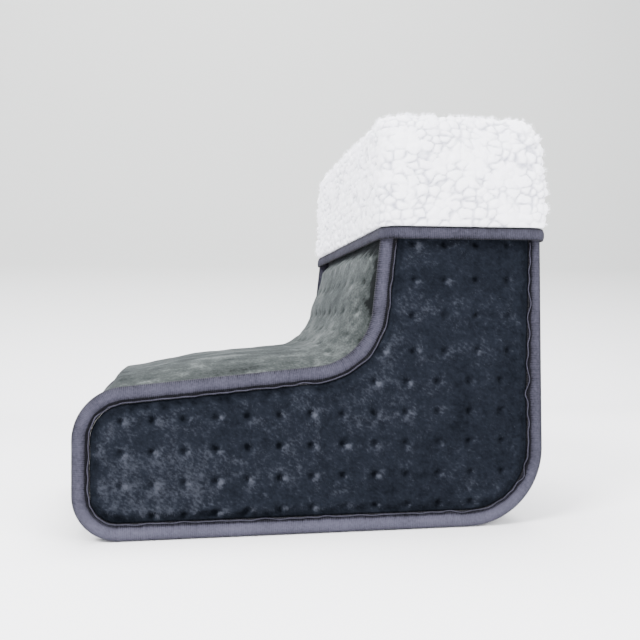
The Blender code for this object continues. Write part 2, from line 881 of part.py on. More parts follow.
def zip_chain(name, up, material):
    """A tape with its bead and teeth. The other chain's teeth stand half a pitch along."""
    count = int(zip_length / tooth_pitch)
    start = zip_centre_y - zip_length / 2
    shift = 0.0 if up > 0 else tooth_pitch / 2
    thick = chain_thickness / 2
    thin = tape_thickness / 2
    comb = [(start, tooth_reach)]
    end = start + zip_length + tooth_pitch
    for k in range(count):
        low = start + tooth_pitch * (k + tooth_lead_share) + shift
        comb += [(low, tooth_reach), (low, -tooth_reach), (low + tooth_width, -tooth_reach),
                 (low + tooth_width, tooth_reach)]
    comb.append((end, tooth_reach))
    back = tooth_reach + bead_width
    far = back + tape_width
    x = heel_x - zip_inset
    bm = bmesh.new()

    def put(depth, y, off):
        return bm.verts.new((x + depth, y, zip_height + up * off))

    caps = []
    for depth in (thick, -thick):
        caps.append([put(depth, y, off) for y, off in comb])
    corners = {}
    for depth in (thick, thin, -thin, -thick):
        corners[depth] = (put(depth, start, back), put(depth, end, back))
    tips = {depth: (put(depth, start, far), put(depth, end, far)) for depth in (thin, -thin)}
    for cap, depth in zip(caps, (thick, -thick)):
        bm.faces.new(cap + [corners[depth][1], corners[depth][0]])
    for a, b, c, d in zip(caps[0], caps[0][1:], caps[1][1:], caps[1]):
        bm.faces.new((a, b, c, d))
    for side, tooth_end in ((0, 0), (1, -1)):
        bm.faces.new((caps[0][tooth_end], caps[1][tooth_end], corners[-thick][side],
                      corners[-thin][side], corners[thin][side], corners[thick][side]))
        bm.faces.new((corners[thin][side], corners[-thin][side], tips[-thin][side],
                      tips[thin][side]))
    for a, b in ((thick, thin), (-thin, -thick)):
        bm.faces.new((corners[a][0], corners[a][1], corners[b][1], corners[b][0]))
    for depth in (thin, -thin):
        bm.faces.new((corners[depth][0], corners[depth][1], tips[depth][1], tips[depth][0]))
    bm.faces.new((tips[thin][0], tips[thin][1], tips[-thin][1], tips[-thin][0]))
    return solid(name, bm, material)


def zip_end():
    return zip_centre_y + zip_length / 2 + tooth_pitch


def zip_slider(material):
    """Two plates joined by a bridge past the last tooth, with side rims and a crown for the pull."""
    x = heel_x - zip_inset
    inner = chain_thickness / 2 + slider_clearance
    outer = inner + slider_plate
    bead = tooth_reach + bead_width + slider_clearance
    rim = bead + slider_rim
    front = zip_end() + slider_clearance + bridge_length
    rear = front - slider_length

    def plate_loop(depth):
        shape = [(rear, -rim), (front - bridge_length, -rim), (front, -rim * slider_tail_share),
                 (front, rim * slider_tail_share), (front - bridge_length, rim), (rear, rim)]
        return [(x + depth, y, zip_height + z) for y, z in shape]

    slider = prism("zip_slider", material, plate_loop(inner), plate_loop(outer))
    rear_plate = prism("rear_plate", material, plate_loop(-outer), plate_loop(-inner))
    parts = [rear_plate]
    bridge_rear = zip_end() + slider_clearance
    parts.append(box("bridge", material,
                     (x - outer + slider_plate / 2, bridge_rear, zip_height - bridge_width / 2),
                     (x + outer - slider_plate / 2, front - slider_plate / 2,
                      zip_height + bridge_width / 2)))
    slot = tape_thickness / 2 + slider_clearance
    for up in (-1, 1):
        for face in (-1, 1):
            z0, z1 = sorted((zip_height + up * bead, zip_height + up * rim))
            x0, x1 = sorted((x + face * slot, x + face * (outer - slider_plate / 2)))
            parts.append(box("rim", material, (x0, rear, z0), (x1, bridge_rear, z1)))
    middle = (rear + front) / 2
    base = x + outer
    for end in (-1, 1):
        y0, y1 = sorted((middle + end * crown_length / 2,
                         middle + end * (crown_length / 2 - crown_thickness)))
        parts.append(box("leg", material, (base - slider_plate / 2, y0, zip_height - crown_width / 2),
                         (base + crown_gap + crown_thickness, y1, zip_height + crown_width / 2)))
    parts.append(box("crown", material,
                     (base + crown_gap, middle - crown_length / 2, zip_height - crown_width / 2),
                     (base + crown_gap + crown_thickness, middle + crown_length / 2,
                      zip_height + crown_width / 2)))
    return combine(slider, parts, "UNION")


def pull_axis():
    """The middle of the pull's bar, under the slider's crown."""
    base = heel_x - zip_inset + chain_thickness / 2 + slider_clearance + slider_plate
    front = zip_end() + slider_clearance + bridge_length
    return Vector((base + crown_gap / 2, front - slider_length / 2, zip_height))


def zip_pull(material):
    """A tab with a window round the crown. It lies along the zip, towards its open end."""
    axis = pull_axis()
    half_bar = pull_bar / 2
    tip = -pull_length
    shoulder = -(half_bar + pull_window_length + pull_bar * 2)
    shape = [(half_bar, -pull_width / 2), (half_bar, pull_width / 2), (shoulder, pull_width / 2),
             (tip + pull_bar, pull_tip_width / 2), (tip, pull_tip_width / 4),
             (tip, -pull_tip_width / 4), (tip + pull_bar, -pull_tip_width / 2),
             (shoulder, -pull_width / 2)]

    def loop(depth):
        return [(axis.x + depth, axis.y + y, axis.z + z) for y, z in shape]

    pull = prism("zip_pull", material, loop(-half_bar), loop(half_bar))
    window = box("window", material,
                 (axis.x - overrun, axis.y - half_bar - pull_window_length, axis.z - pull_window / 2),
                 (axis.x + overrun, axis.y - half_bar, axis.z + pull_window / 2))
    return combine(pull, [window], "DIFFERENCE")


def zip_stops(material):
    """A bottom stop across both chains, and a stop on each tape past the closed slider."""
    x = heel_x - zip_inset
    start = zip_centre_y - zip_length / 2 - touch_gap
    half = chain_thickness / 2
    reach = tooth_reach + bead_width
    box("zip_bottom_stop", material, (x - half, start - stop_length, zip_height - reach),
        (x + half, start, zip_height + reach))
    front = zip_end() + slider_clearance + bridge_length + slider_clearance
    for up, name in ((1, "zip_top_stop_upper"), (-1, "zip_top_stop_lower")):
        z0, z1 = sorted((zip_height + up * tooth_reach, zip_height + up * (reach + stop_wall)))
        box(name, material, (x - half, front, z0), (x + half, front + stop_length, z1))


# Inlet


def inlet_loop(width, height, corner, inset):
    flat = rounded_rectangle(-width / 2, width / 2, -height / 2, height / 2, corner,
                             inlet_corner_steps)
    return [(heel_x - inset, inlet_y + y, zip_height + z) for y, z in flat]


def inlet_parts(plastic, metal):
    face = back_middle_inset - touch_gap - inlet_flange_thickness
    under = face + inlet_flange_thickness
    floor = inlet_floor_inset
    inner_w, inner_h = inlet_width - 2 * inlet_wall, inlet_height - 2 * inlet_wall
    inner_corner = inlet_corner - inlet_wall
    flange_corner = inlet_corner + inlet_wall
    sections = [
        inlet_loop(inlet_flange_width, inlet_flange_height, flange_corner, under),
        inlet_loop(inlet_flange_width, inlet_flange_height, flange_corner, face + inlet_wall / 4),
        inlet_loop(inlet_flange_width - inlet_wall, inlet_flange_height - inlet_wall,
                   flange_corner, face),
        inlet_loop(inner_w, inner_h, inner_corner, face),
        inlet_loop(inner_w, inner_h, inner_corner, floor - inlet_floor),
    ]
    outer = [
        inlet_loop(inlet_width, inlet_height, inlet_corner, under),
        inlet_loop(inlet_width, inlet_height, inlet_corner, floor),
    ]
    bm = bmesh.new()
    loops = [[bm.verts.new(p) for p in loop] for loop in sections[::-1] + outer]
    for loop, following in zip(loops, loops[1:]):
        for j in range(len(loop)):
            k = (j + 1) % len(loop)
            bm.faces.new((loop[j], loop[k], following[k], following[j]))
    bm.faces.new(loops[0])
    bm.faces.new(loops[-1])
    housing = solid("inlet_housing", bm, plastic)
    holes = []
    for k in (-1, 0, 1):
        holes.append(lathe("hole", plastic, (heel_x - floor - overrun, inlet_y + k * pin_spacing,
                                             zip_height), (1, 0, 0),
                           [(0.0, pin_radius + touch_gap), (overrun * 2, pin_radius + touch_gap)]))
    combine(housing, holes, "DIFFERENCE")
    for k in (-1, 0, 1):
        lathe(f"inlet_pin_{k + 2}", metal,
              (heel_x - floor - pin_tail, inlet_y + k * pin_spacing, zip_height), (1, 0, 0),
              [(0.0, pin_radius), (pin_tail + pin_length, pin_radius),
               (pin_tail + pin_length + pin_radius / 2, pin_radius / 2)])

    width = inlet_width + 2 * clamp_border
    height = inlet_height + 2 * clamp_border
    shell = shell_inset(back_mark(zip_height), inlet_y + width / 2)
    behind = shell + shell_thickness + layer_gap
    clamp = prism("inlet_clamp", plastic, inlet_loop(width, height, inlet_corner, behind),
                  inlet_loop(width, height, inlet_corner, behind + clamp_thickness))
    hole_w, hole_h = inlet_width + 2 * inlet_fit, inlet_height + 2 * inlet_fit
    opening = prism("opening", plastic, inlet_loop(hole_w, hole_h, inlet_corner, behind - overrun),
                    inlet_loop(hole_w, hole_h, inlet_corner, behind + overrun))
    notch = lead_diameter / 2 + inlet_fit
    slot = box("slot", plastic,
               (heel_x - behind - overrun, inlet_y - notch, zip_height - height),
               (heel_x - behind + overrun, inlet_y + notch, zip_height - inlet_corner))
    combine(clamp, [opening, slot], "DIFFERENCE")


def inlet_cutter(inset, material):
    width, height = inlet_width + 2 * inlet_fit, inlet_height + 2 * inlet_fit
    return prism("cutter", material,
                 inlet_loop(width, height, inlet_corner, inset - overrun),
                 inlet_loop(width, height, inlet_corner, inset + overrun * 2))


def wall_layers(plush, foam, sherpa, sole):
    """The shell, the padding and the lining, from the outside in."""
    gap = layer_gap / 2
    sole_start, sole_end = start_of["sole"] + gap, end_of["sole"] - gap
    wrap("instep_panel", plush, 0.0, start_of["sole"] - gap, shell_half, panel_columns,
         shell_inset, shell_thickness)
    wrap("sole_panel", sole, sole_start, sole_end, shell_half, panel_columns, shell_inset,
         sole_thickness)
    back = wrap("back_panel", plush, end_of["sole"] + gap, outline_length, shell_half,
                panel_columns, shell_inset, shell_thickness)
    slit_low = zip_centre_y - zip_length / 2 - slit_overrun
    slit_high = zip_end() + slit_overrun
    slit = box("slit", plush,
               (heel_x - zip_inset - overrun, slit_low, zip_height - slit_height / 2),
               (heel_x + overrun, slit_high, zip_height + slit_height / 2))
    combine(back, [slit, inlet_cutter(back_middle_inset, plush)], "DIFFERENCE")

    foam_offset = shell_thickness + layer_gap
    bend_end = start_of["toe_low_bend"] + toe_low_radius * math.radians(foam_turn_degrees)
    wrap("instep_foam", foam, 0.0, bend_end, foam_half, layer_columns,
         lambda s, y: shell_inset(s, y) + foam_offset, foam_thickness)
    heel_start = start_of["back"] - heel_radius * math.radians(heel_turn_degrees)
    back_foam = wrap("back_foam", foam, heel_start, outline_length, foam_half, layer_columns,
                     lambda s, y: back_foam_inset, foam_thickness)
    combine(back_foam, [inlet_cutter(back_foam_inset, foam)], "DIFFERENCE")

    lining_offset = foam_offset + foam_thickness + layer_gap
    wrap("instep_lining", sherpa, front_mark(lining_top), bend_end, lining_half, layer_columns,
         lambda s, y: shell_inset(s, y) + lining_offset, lining_thickness)
    wrap("back_lining", sherpa, heel_start, back_mark(lining_top), lining_half, layer_columns,
         lambda s, y: back_lining_inset, lining_thickness)

    shell_back = half_width - side_panel_thickness - layer_gap
    foam_inset = shell_edge_inset + max(shell_thickness, sole_thickness) + layer_gap
    lining_inset = foam_inset + foam_thickness + layer_gap
    for side, name in ((-1, "left"), (1, "right")):
        side_layer(f"side_foam_{name}", side, foam, foam_inset, shell_back - foam_thickness,
                   shell_back, rim_height)
        side_layer(f"side_lining_{name}", side, sherpa, lining_inset,
                   foam_half - layer_gap - lining_thickness, foam_half - layer_gap, lining_top)


def build():
    start_clean()
    plush = finish("slate_plush", (0.035, 0.045, 0.062), 0.85)
    tape = finish("ribbed_tape", (0.13, 0.13, 0.17), 0.8)
    sherpa = finish("white_sherpa", (0.86, 0.85, 0.88), 0.95)
    foam = finish("padding", (0.82, 0.8, 0.72), 0.9)
    sole = finish("grip_fabric", (0.03, 0.03, 0.035), 0.7)
    felt = finish("heater_felt", (0.75, 0.72, 0.66), 0.95)
    wire = finish("silicone_wire", (0.55, 0.06, 0.05), 0.45)
    metal = finish("nickel_plate", (0.62, 0.6, 0.57), 0.35, 1.0)
    plastic = finish("black_moulding", (0.02, 0.02, 0.022), 0.5)
    for side, name in ((-1, "left"), (1, "right")):
        side_panel(f"side_panel_{name}", side, plush)
        binding(f"binding_{name}", side, tape)
    wall_layers(plush, foam, sherpa, sole)
    cuff(sherpa)
    cuff_hem_tape(tape)
    heating_pad({"foam": foam, "felt": felt, "sherpa": sherpa}, wire, metal, plastic)
    zip_chain("zip_chain_upper", 1, plastic)
    zip_chain("zip_chain_lower", -1, plastic)
    zip_slider(metal)
    zip_pull(metal)
    zip_stops(metal)
    inlet_parts(plastic, metal)


build()
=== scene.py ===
import math

import bmesh
import bpy
import numpy as np
from mathutils import Matrix, Vector, noise
from mathutils.bvhtree import BVHTree
from mathutils.geometry import delaunay_2d_cdt


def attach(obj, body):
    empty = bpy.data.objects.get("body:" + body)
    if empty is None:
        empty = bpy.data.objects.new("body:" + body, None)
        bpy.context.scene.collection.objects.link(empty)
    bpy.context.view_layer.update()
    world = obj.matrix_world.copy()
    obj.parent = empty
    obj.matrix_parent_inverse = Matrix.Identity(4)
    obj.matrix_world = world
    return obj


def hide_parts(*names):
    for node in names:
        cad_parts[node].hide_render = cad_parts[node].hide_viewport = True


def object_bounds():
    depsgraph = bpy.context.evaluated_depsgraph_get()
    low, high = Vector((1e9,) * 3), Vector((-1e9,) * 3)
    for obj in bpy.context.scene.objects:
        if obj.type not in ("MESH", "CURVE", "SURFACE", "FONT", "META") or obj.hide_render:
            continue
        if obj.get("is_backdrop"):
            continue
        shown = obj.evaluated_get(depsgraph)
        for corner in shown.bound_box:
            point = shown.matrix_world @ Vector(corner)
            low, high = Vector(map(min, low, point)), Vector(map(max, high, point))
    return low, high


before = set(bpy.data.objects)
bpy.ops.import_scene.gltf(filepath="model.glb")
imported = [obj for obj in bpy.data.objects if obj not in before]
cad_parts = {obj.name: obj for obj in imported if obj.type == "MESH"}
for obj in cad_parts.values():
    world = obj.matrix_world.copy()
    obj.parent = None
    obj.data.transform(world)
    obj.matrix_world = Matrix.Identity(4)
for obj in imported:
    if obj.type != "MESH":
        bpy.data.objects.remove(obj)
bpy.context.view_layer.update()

mm = 0.001


# ---- Wadding behind the plush
# Five pads of soft wadding are laid between the plush and the lining, cut to the boot's outline.
# They follow the side outline: up the front, over the instep, round the toe, sole and heel.

boot_length = 338.0 * mm
half_width = 131.0 * mm
rim_height = 290.0 * mm
toe_x = -170.9 * mm
heel_x = toe_x + boot_length
instep_x = heel_x - 132.6 * mm
instep_z = 121.2 * mm
shaft_lean = 20.3 * mm
toe_radius = 32.0 * mm
heel_radius = 57.0 * mm
# Each corner of the outline: its place in X and Z, and the radius that rounds it.
outline_corners = [
    (heel_x - 112.3 * mm, rim_height, 0.0),
    (instep_x, instep_z, 45.0 * mm),
    (toe_x, 102.6 * mm, 37.0 * mm),
    (toe_x, 0.0, toe_radius),
    (heel_x, 0.0, heel_radius),
    (heel_x, rim_height, 0.0),
]
outline_names = ["shaft_front", "instep_bend", "foot_top", "toe_top_bend", "toe_front",
                 "toe_low_bend", "sole", "heel_bend", "back"]
outline_step = 0.25 * mm
layer_gap = 0.4 * mm
plush_thickness = 2.5 * mm
wadding_thickness = 5.0 * mm
sherpa_thickness = 5.0 * mm
shell_half = 120.9 * mm
wadding_half = 115.5 * mm
lining_half = 109.7 * mm


def turned(x, z, angle):
    return x * math.cos(angle) - z * math.sin(angle), x * math.sin(angle) + z * math.cos(angle)


def lay_outline():
    """Points and outward normals along the side outline, with the place where each run starts."""
    rows, starts, along = [], {}, 0.0
    x, z = outline_corners[0][:2]
    for index in range(len(outline_corners) - 1):
        cx, cz, radius = outline_corners[index + 1]
        px, pz = outline_corners[index][:2]
        reach = math.hypot(cx - px, cz - pz)
        hx, hz = (cx - px) / reach, (cz - pz) / reach
        turn = 0.0
        if radius:
            fx, fz = outline_corners[index + 2][0] - cx, outline_corners[index + 2][1] - cz
            turn = math.atan2(hx * fz - hz * fx, hx * fx + hz * fz)
        trim = radius * math.tan(abs(turn) / 2)
        length = math.hypot(cx - hx * trim - x, cz - hz * trim - z)
        starts[outline_names[2 * index]] = along
        for k in range(int(length / outline_step)):
            step = k * outline_step
            rows.append((along + step, x + hx * step, z + hz * step, hz, -hx))
        along += length
        x, z = x + hx * length, z + hz * length
        if radius:
            starts[outline_names[2 * index + 1]] = along
            side = math.copysign(1.0, turn)
            ox, oz = x - hz * side * radius, z + hx * side * radius
            arc = radius * abs(turn)
            count = int(arc / outline_step)
            for k in range(count + 1):
                angle = side * arc * k / count / radius
                nx, nz = turned(hz * side, -hx * side, angle)
                rows.append((along + arc * k / count, ox + nx * radius, oz + nz * radius,
                             nx * side, nz * side))
            along += arc
            x, z = ox + nx * radius, oz + nz * radius
    rows.append((along, x, z, rows[-1][3], rows[-1][4]))
    starts["end"] = along
    return np.array(rows), starts


outline, starts = lay_outline()
outline_length = starts["end"]


def walk(along):
    """Point and outward normal at distances along the outline, as two (..., 2) arrays."""
    columns = [np.interp(along, outline[:, 0], outline[:, k]) for k in range(1, 5)]
    return np.stack(columns[:2], -1), np.stack(columns[2:], -1)


def ease(value):
    value = np.clip(value, 0.0, 1.0)
    return value * value * (3.0 - 2.0 * value)


def eased(along, table):
    """A value eased between the places of a table along the outline."""
    value = np.full(np.shape(along), table[0][1])
    for (a, low), (b, high) in zip(table, table[1:]):
        value = np.where(along > a, low + (high - low) * ease((along - a) / (b - a)), value)
    return value


hem_z = 207.4 * mm
outline_heading_z = -(rim_height - instep_z) / math.hypot(shaft_lean, rim_height - instep_z)


def front_mark(z):
    """How far along the outline a height on the front of the shaft lies."""
    return (rim_height - z) / -outline_heading_z


def back_mark(z):
    """How far along the outline a height on the back lies."""
    return starts["back"] + z - heel_radius


shell_edge = 8.0 * mm
toe_bend = starts["toe_front"] - starts["toe_top_bend"]
# How far the middle of the plush lies inside the outline, at places along it.
middle_insets = [
    (front_mark(211.0 * mm), 4.2 * mm), (front_mark(197.0 * mm), -5.5 * mm),
    (starts["instep_bend"], -14.0 * mm),
    ((starts["instep_bend"] + starts["foot_top"]) / 2, -17.0 * mm),
    (starts["foot_top"], -15.0 * mm),
    ((starts["foot_top"] + starts["toe_top_bend"]) / 2, -15.0 * mm),
    (starts["toe_top_bend"], -9.2 * mm), (starts["toe_top_bend"] + toe_bend * 0.25, 1.0 * mm),
    (starts["toe_top_bend"] + toe_bend / 2, 2.5 * mm), (starts["toe_front"], 0.0),
    (starts["heel_bend"], 0.0), (starts["back"], 3.0 * mm)]
crown_powers = [(starts["toe_front"], 5.0), (starts["sole"], 10.0)]


def shell_inset(along, y):
    """How far the plush lies inside the outline: crowned over the instep, drawn in at the seams."""
    middle = eased(along, middle_insets)
    share = np.minimum(np.abs(y) / shell_half, 1.0)
    return middle + (shell_edge - middle) * share ** eased(along, crown_powers)


def mesh_of(name, bm):
    mesh = bpy.data.meshes.new(name)
    bm.to_mesh(mesh)
    bm.free()
    return mesh


def placed(name, data):
    """An object made from its data, in the scene."""
    made = bpy.data.objects.new(name, data)
    bpy.context.scene.collection.objects.link(made)
    return made


def make_piece(name, verts, faces, material, slot, body="boot", smooth=True):
    """One closed piece with its faces turned outwards, riding on its body."""
    bm = bmesh.new()
    made = [bm.verts.new(v) for v in verts]
    for face in faces:
        bm.faces.new([made[k] for k in face])
    bmesh.ops.recalc_face_normals(bm, faces=bm.faces)
    mesh = mesh_of(name, bm)
    mesh.materials.append(material)
    if smooth:
        mesh.shade_smooth()
    piece = placed(name, mesh)
    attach(piece, body)
    return piece


def closed_grid(outer, inner):
    """Vertices and faces of a closed sheet between two grids of points."""
    rows, columns = outer.shape[:2]
    count = rows * columns
    index = np.arange(count).reshape(rows, columns)
    quads = np.stack([index[:-1, :-1], index[1:, :-1], index[1:, 1:], index[:-1, 1:]], -1)
    quads = quads.reshape(-1, 4)
    rim = [*index[0, :], *index[1:, -1], *index[-1, -2::-1], *index[-2:0:-1, 0]]
    walls = [(a, b, b + count, a + count) for a, b in zip(rim, rim[1:] + rim[:1])]
    verts = np.concatenate([outer.reshape(-1, 3), inner.reshape(-1, 3)])
    return verts, quads.tolist() + (quads + count).tolist() + walls


def wrapped(name, first, last, half, inset, thickness, step, material, slot, relief=None,
            inward=False):
    """A layer that follows the outline across the boot, with relief on the face that shows."""
    along = np.linspace(first, last, max(2, round((last - first) / step) + 1))
    across = np.linspace(-half, half, round(2 * half / step) + 1)
    s, y = np.meshgrid(along, across, indexing="ij")
    place, normal = walk(s)

    def face(depth):
        flat = place - normal * depth[..., None]
        return np.stack([flat[..., 0], y, flat[..., 1]], -1)

    top = inset(s, y)
    low = top + thickness
    if relief is not None:
        if inward:
            low = low + relief(s, y, face(low))
        else:
            top = top - relief(s, y, face(top))
    return make_piece(name, *closed_grid(face(top), face(low)), material, slot)


def new_group(name, inputs, outputs):
    """An empty node group with number inputs and the outputs named."""
    group = bpy.data.node_groups.new(name, "ShaderNodeTree")
    for socket, value in inputs:
        group.interface.new_socket(socket, in_out="INPUT", socket_type="NodeSocketFloat"
                                   ).default_value = value
    for socket in outputs:
        group.interface.new_socket(socket, in_out="OUTPUT", socket_type="NodeSocketFloat")
    return group, group.nodes.new("NodeGroupInput"), group.nodes.new("NodeGroupOutput")


def add(tree, kind, links=(), **values):
    """A node with its plain sockets set and its linked sockets joined."""
    node = tree.nodes.new(kind)
    for key, value in values.items():
        if hasattr(node, key):
            setattr(node, key, value)
        else:
            node.inputs[key.replace("_", " ")].default_value = value
    for socket, source in links:
        tree.links.new(source, node.inputs[socket])
    return node


def noise_of(tree, vector, scale, detail=3.0, roughness=0.55, **values):
    """Noise whose scale is a number or comes from another node."""
    node = add(tree, "ShaderNodeTexNoise", [("Vector", vector)], Detail=detail,
               Roughness=roughness, **values)
    if isinstance(scale, float):
        node.inputs["Scale"].default_value = scale
    else:
        tree.links.new(scale, node.inputs["Scale"])
    return node.outputs["Fac"]


def maths(tree, operation, a, b):
    node = tree.nodes.new("ShaderNodeMath")
    node.operation = operation
    for socket, value in zip(node.inputs, (a, b)):
        if isinstance(value, (int, float)):
            socket.default_value = value
        else:
            tree.links.new(value, socket)
    return node.outputs[0]


def weighed(tree, a, a_share, b, b_share):
    """The sum of two values, each times its share."""
    return maths(tree, "ADD", maths(tree, "MULTIPLY", a, a_share),
                 maths(tree, "MULTIPLY", b, b_share))


def ramp(tree, factor, low, high, dark=0.0, light=1.0):
    node = tree.nodes.new("ShaderNodeMapRange")
    node.clamp = True
    for socket, value in zip(("From Min", "From Max", "To Min", "To Max"),
                             (low, high, dark, light)):
        node.inputs[socket].default_value = value
    tree.links.new(factor, node.inputs["Value"])
    return node.outputs["Result"]


def fibre_group():
    """Matted fibres: soft clouds of tone and a fine tangled grain."""
    group, given, out = new_group("matted fibres", [("Grain", 900.0), ("Clouds", 40.0)],
                                  ["Tone", "Height"])
    place = add(group, "ShaderNodeTexCoord").outputs["Object"]
    cloud = noise_of(group, place, given.outputs["Clouds"], 4.0, 0.5)
    grain = noise_of(group, place, given.outputs["Grain"], 4.0, 0.5)
    group.links.new(weighed(group, cloud, 0.6, grain, 0.4), out.inputs["Tone"])
    group.links.new(grain, out.inputs["Height"])
    return group


matted_fibres = fibre_group()


def new_material(name, roughness, metallic=0.0, **sockets):
    material = bpy.data.materials.new(name)
    material.use_nodes = True
    tree = material.node_tree
    shader = tree.nodes["Principled BSDF"]
    shader.inputs["Roughness"].default_value = roughness
    shader.inputs["Metallic"].default_value = metallic
    for key, value in sockets.items():
        shader.inputs[key.replace("_", " ")].default_value = value
    return material, tree, shader


def colour_between(tree, shader, factor, dark, light):
    mix = tree.nodes.new("ShaderNodeMix")
    mix.data_type = "RGBA"
    tree.links.new(factor, mix.inputs["Factor"])
    mix.inputs["A"].default_value = (*dark, 1.0)
    mix.inputs["B"].default_value = (*light, 1.0)
    tree.links.new(mix.outputs["Result"], shader.inputs["Base Color"])


def raise_by(tree, shader, height, distance, strength=1.0):
    bump = add(tree, "ShaderNodeBump", [("Height", height)], Strength=strength,
               Distance=distance)
    tree.links.new(bump.outputs["Normal"], shader.inputs["Normal"])


def fibre_material(name, dark, light, grain, clouds, depth, roughness=0.95):
    material, tree, shader = new_material(name, roughness, Sheen_Weight=0.15)
    fibres = add(tree, "ShaderNodeGroup", node_tree=matted_fibres, Grain=grain, Clouds=clouds)
    colour_between(tree, shader, ramp(tree, fibres.outputs["Tone"], 0.35, 0.65), dark, light)
    raise_by(tree, shader, fibres.outputs["Height"], depth)
    return material


wadding = fibre_material("soft wadding", (0.70, 0.67, 0.58), (0.86, 0.84, 0.77), grain=700.0,
                         clouds=35.0, depth=0.5 * mm)
wadding_step = 6.0 * mm
wadding_bend_end = starts["toe_low_bend"] + toe_radius * math.radians(35.0)
back_wadding_inset = 10.0 * mm
heel_start = starts["back"] - heel_radius * math.radians(50.0)
wadding_offset = plush_thickness + layer_gap


def cut(piece, cutters):
    """Openings cut through a piece in turn."""
    for cutter in cutters:
        modifier = piece.modifiers.new("opening", "BOOLEAN")
        modifier.operation = "DIFFERENCE"
        modifier.solver = "EXACT"
        modifier.object = cutter
    depsgraph = bpy.context.evaluated_depsgraph_get()
    piece.data = bpy.data.meshes.new_from_object(piece.evaluated_get(depsgraph))
    piece.modifiers.clear()
    for cutter in cutters:
        bpy.data.objects.remove(cutter, do_unlink=True)


def corner_arcs(x0, x1, y0, y1, radius, steps):
    """The four corner arcs of a rounded rectangle, each a list of points."""
    arcs = []
    for quarter, (cx, cy) in enumerate(((x1 - radius, y1 - radius), (x0 + radius, y1 - radius),
                                        (x0 + radius, y0 + radius), (x1 - radius, y0 + radius))):
        angles = [math.pi / 2 * (quarter + k / steps) for k in range(steps + 1)]
        arcs.append([(cx + radius * math.cos(a), cy + radius * math.sin(a)) for a in angles])
    return arcs


def cutter_box(x0, x1, y0, y1, z0, z1, radius, steps=5):
    """A block with rounded corners in Y and Z, used to cut an opening."""
    loop = sum(corner_arcs(y0, y1, z0, z1, radius, steps), [])
    bm = bmesh.new()
    ends = [[bm.verts.new((x, y, z)) for y, z in loop] for x in (x0, x1)]
    for j in range(len(loop)):
        k = (j + 1) % len(loop)
        bm.faces.new((ends[0][j], ends[0][k], ends[1][k], ends[1][j]))
    bm.faces.new(ends[0])
    bm.faces.new(ends[1])
    bmesh.ops.recalc_face_normals(bm, faces=bm.faces)
    return placed("cutter", mesh_of("cutter", bm))


inlet_y = 80.0 * mm
inlet_half_width = 13.4 * mm
inlet_half_height = 8.4 * mm
inlet_corner = 3.5 * mm
zip_z = 84.0 * mm


def inlet_opening(inset):
    """The hole for the inlet, through a layer of the back at its inset."""
    return cutter_box(heel_x - inset - 10.0 * mm, heel_x - inset + 6.0 * mm,
                      inlet_y - inlet_half_width, inlet_y + inlet_half_width,
                      zip_z - inlet_half_height, zip_z + inlet_half_height, inlet_corner)


instep_wadding = wrapped("instep_wadding", 0.0, wadding_bend_end, wadding_half,
                         lambda s, y: shell_inset(s, y) + wadding_offset, wadding_thickness,
                         wadding_step, wadding, "padding")
back_wadding = wrapped("back_wadding", heel_start, outline_length, wadding_half,
                       lambda s, y: np.full(s.shape, back_wadding_inset), wadding_thickness,
                       wadding_step, wadding, "padding")
cut(back_wadding, [inlet_opening(back_wadding_inset)])
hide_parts("instep_foam")
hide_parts("back_foam")


def side_loop(inset, top, step=2.0 * mm):
    """The outline at an inset, closed straight across below the rim, as evenly spaced points."""
    along = np.linspace(0.0, outline_length, round(outline_length / step))
    place, normal = walk(along)
    reach = inset(along) if callable(inset) else np.full(len(along), inset)
    loop = place - normal * reach[:, None]
    loop[:, 1] = np.minimum(loop[:, 1], top)
    keep = [loop[0]]
    for point in loop[1:]:
        if np.hypot(*(point - keep[-1])) > step * 0.4:
            keep.append(point)
    gap = np.hypot(*(keep[0] - keep[-1]))
    count = max(2, round(gap / step))
    for k in range(1, count):
        keep.append(loop[-1] + (keep[0] - loop[-1]) * k / count)
    return np.array(keep)


def edge_distance(points, loop):
    """How far each point lies from a closed loop."""
    nearest = np.full(len(points), boot_length)
    for a, b in zip(loop, np.roll(loop, -1, axis=0)):
        side = b - a
        share = np.clip((points - a) @ side / max(side @ side, 1e-12), 0.0, 1.0)
        nearest = np.minimum(nearest, np.hypot(*(points - a - share[:, None] * side).T))
    return nearest


def inside(points, loop):
    """Which of the points lie inside a closed loop."""
    odd = np.zeros(len(points), bool)
    for a, b in zip(loop, np.roll(loop, -1, axis=0)):
        spans = (a[1] > points[:, 1]) != (b[1] > points[:, 1])
        if spans.any():
            cross = a[0] + (b[0] - a[0]) * (points[:, 1] - a[1]) / (b[1] - a[1])
            odd ^= spans & (points[:, 0] < cross)
    return odd


def lattice(loop, step):
    """A triangle lattice of points inside a loop, with the loop's own points first."""
    low, high = loop.min(0), loop.max(0)
    rows = []
    for j, z in enumerate(np.arange(low[1], high[1], step * 0.866)):
        x = np.arange(low[0] + (j % 2) * step / 2, high[0], step)
        rows.append(np.stack([x, np.full(len(x), z)], -1))
    points = np.concatenate(rows)
    points = points[inside(points, loop)]
    points = points[edge_distance(points, loop) > step * 0.6]
    points = np.concatenate([loop, points])
    ring = list(range(len(loop)))
    verts, _, faces, origins, _, _ = delaunay_2d_cdt([Vector(p) for p in points], [], [ring], 1,
                                                     1e-7)
    order = {origin: k for k, group in enumerate(origins) for origin in group}
    return np.array([tuple(v) for v in verts]), faces, [order[k] for k in ring]


def add_wall(verts, faces, ring, border):
    """Adds a wall of quads from a ring of points to a border, and gives the border's ring."""
    following = list(range(len(verts), len(verts) + len(border)))
    verts.extend(border)
    for j in range(len(ring)):
        k = (j + 1) % len(ring)
        faces.append([ring[j], ring[k], following[k], following[j]])
    return following


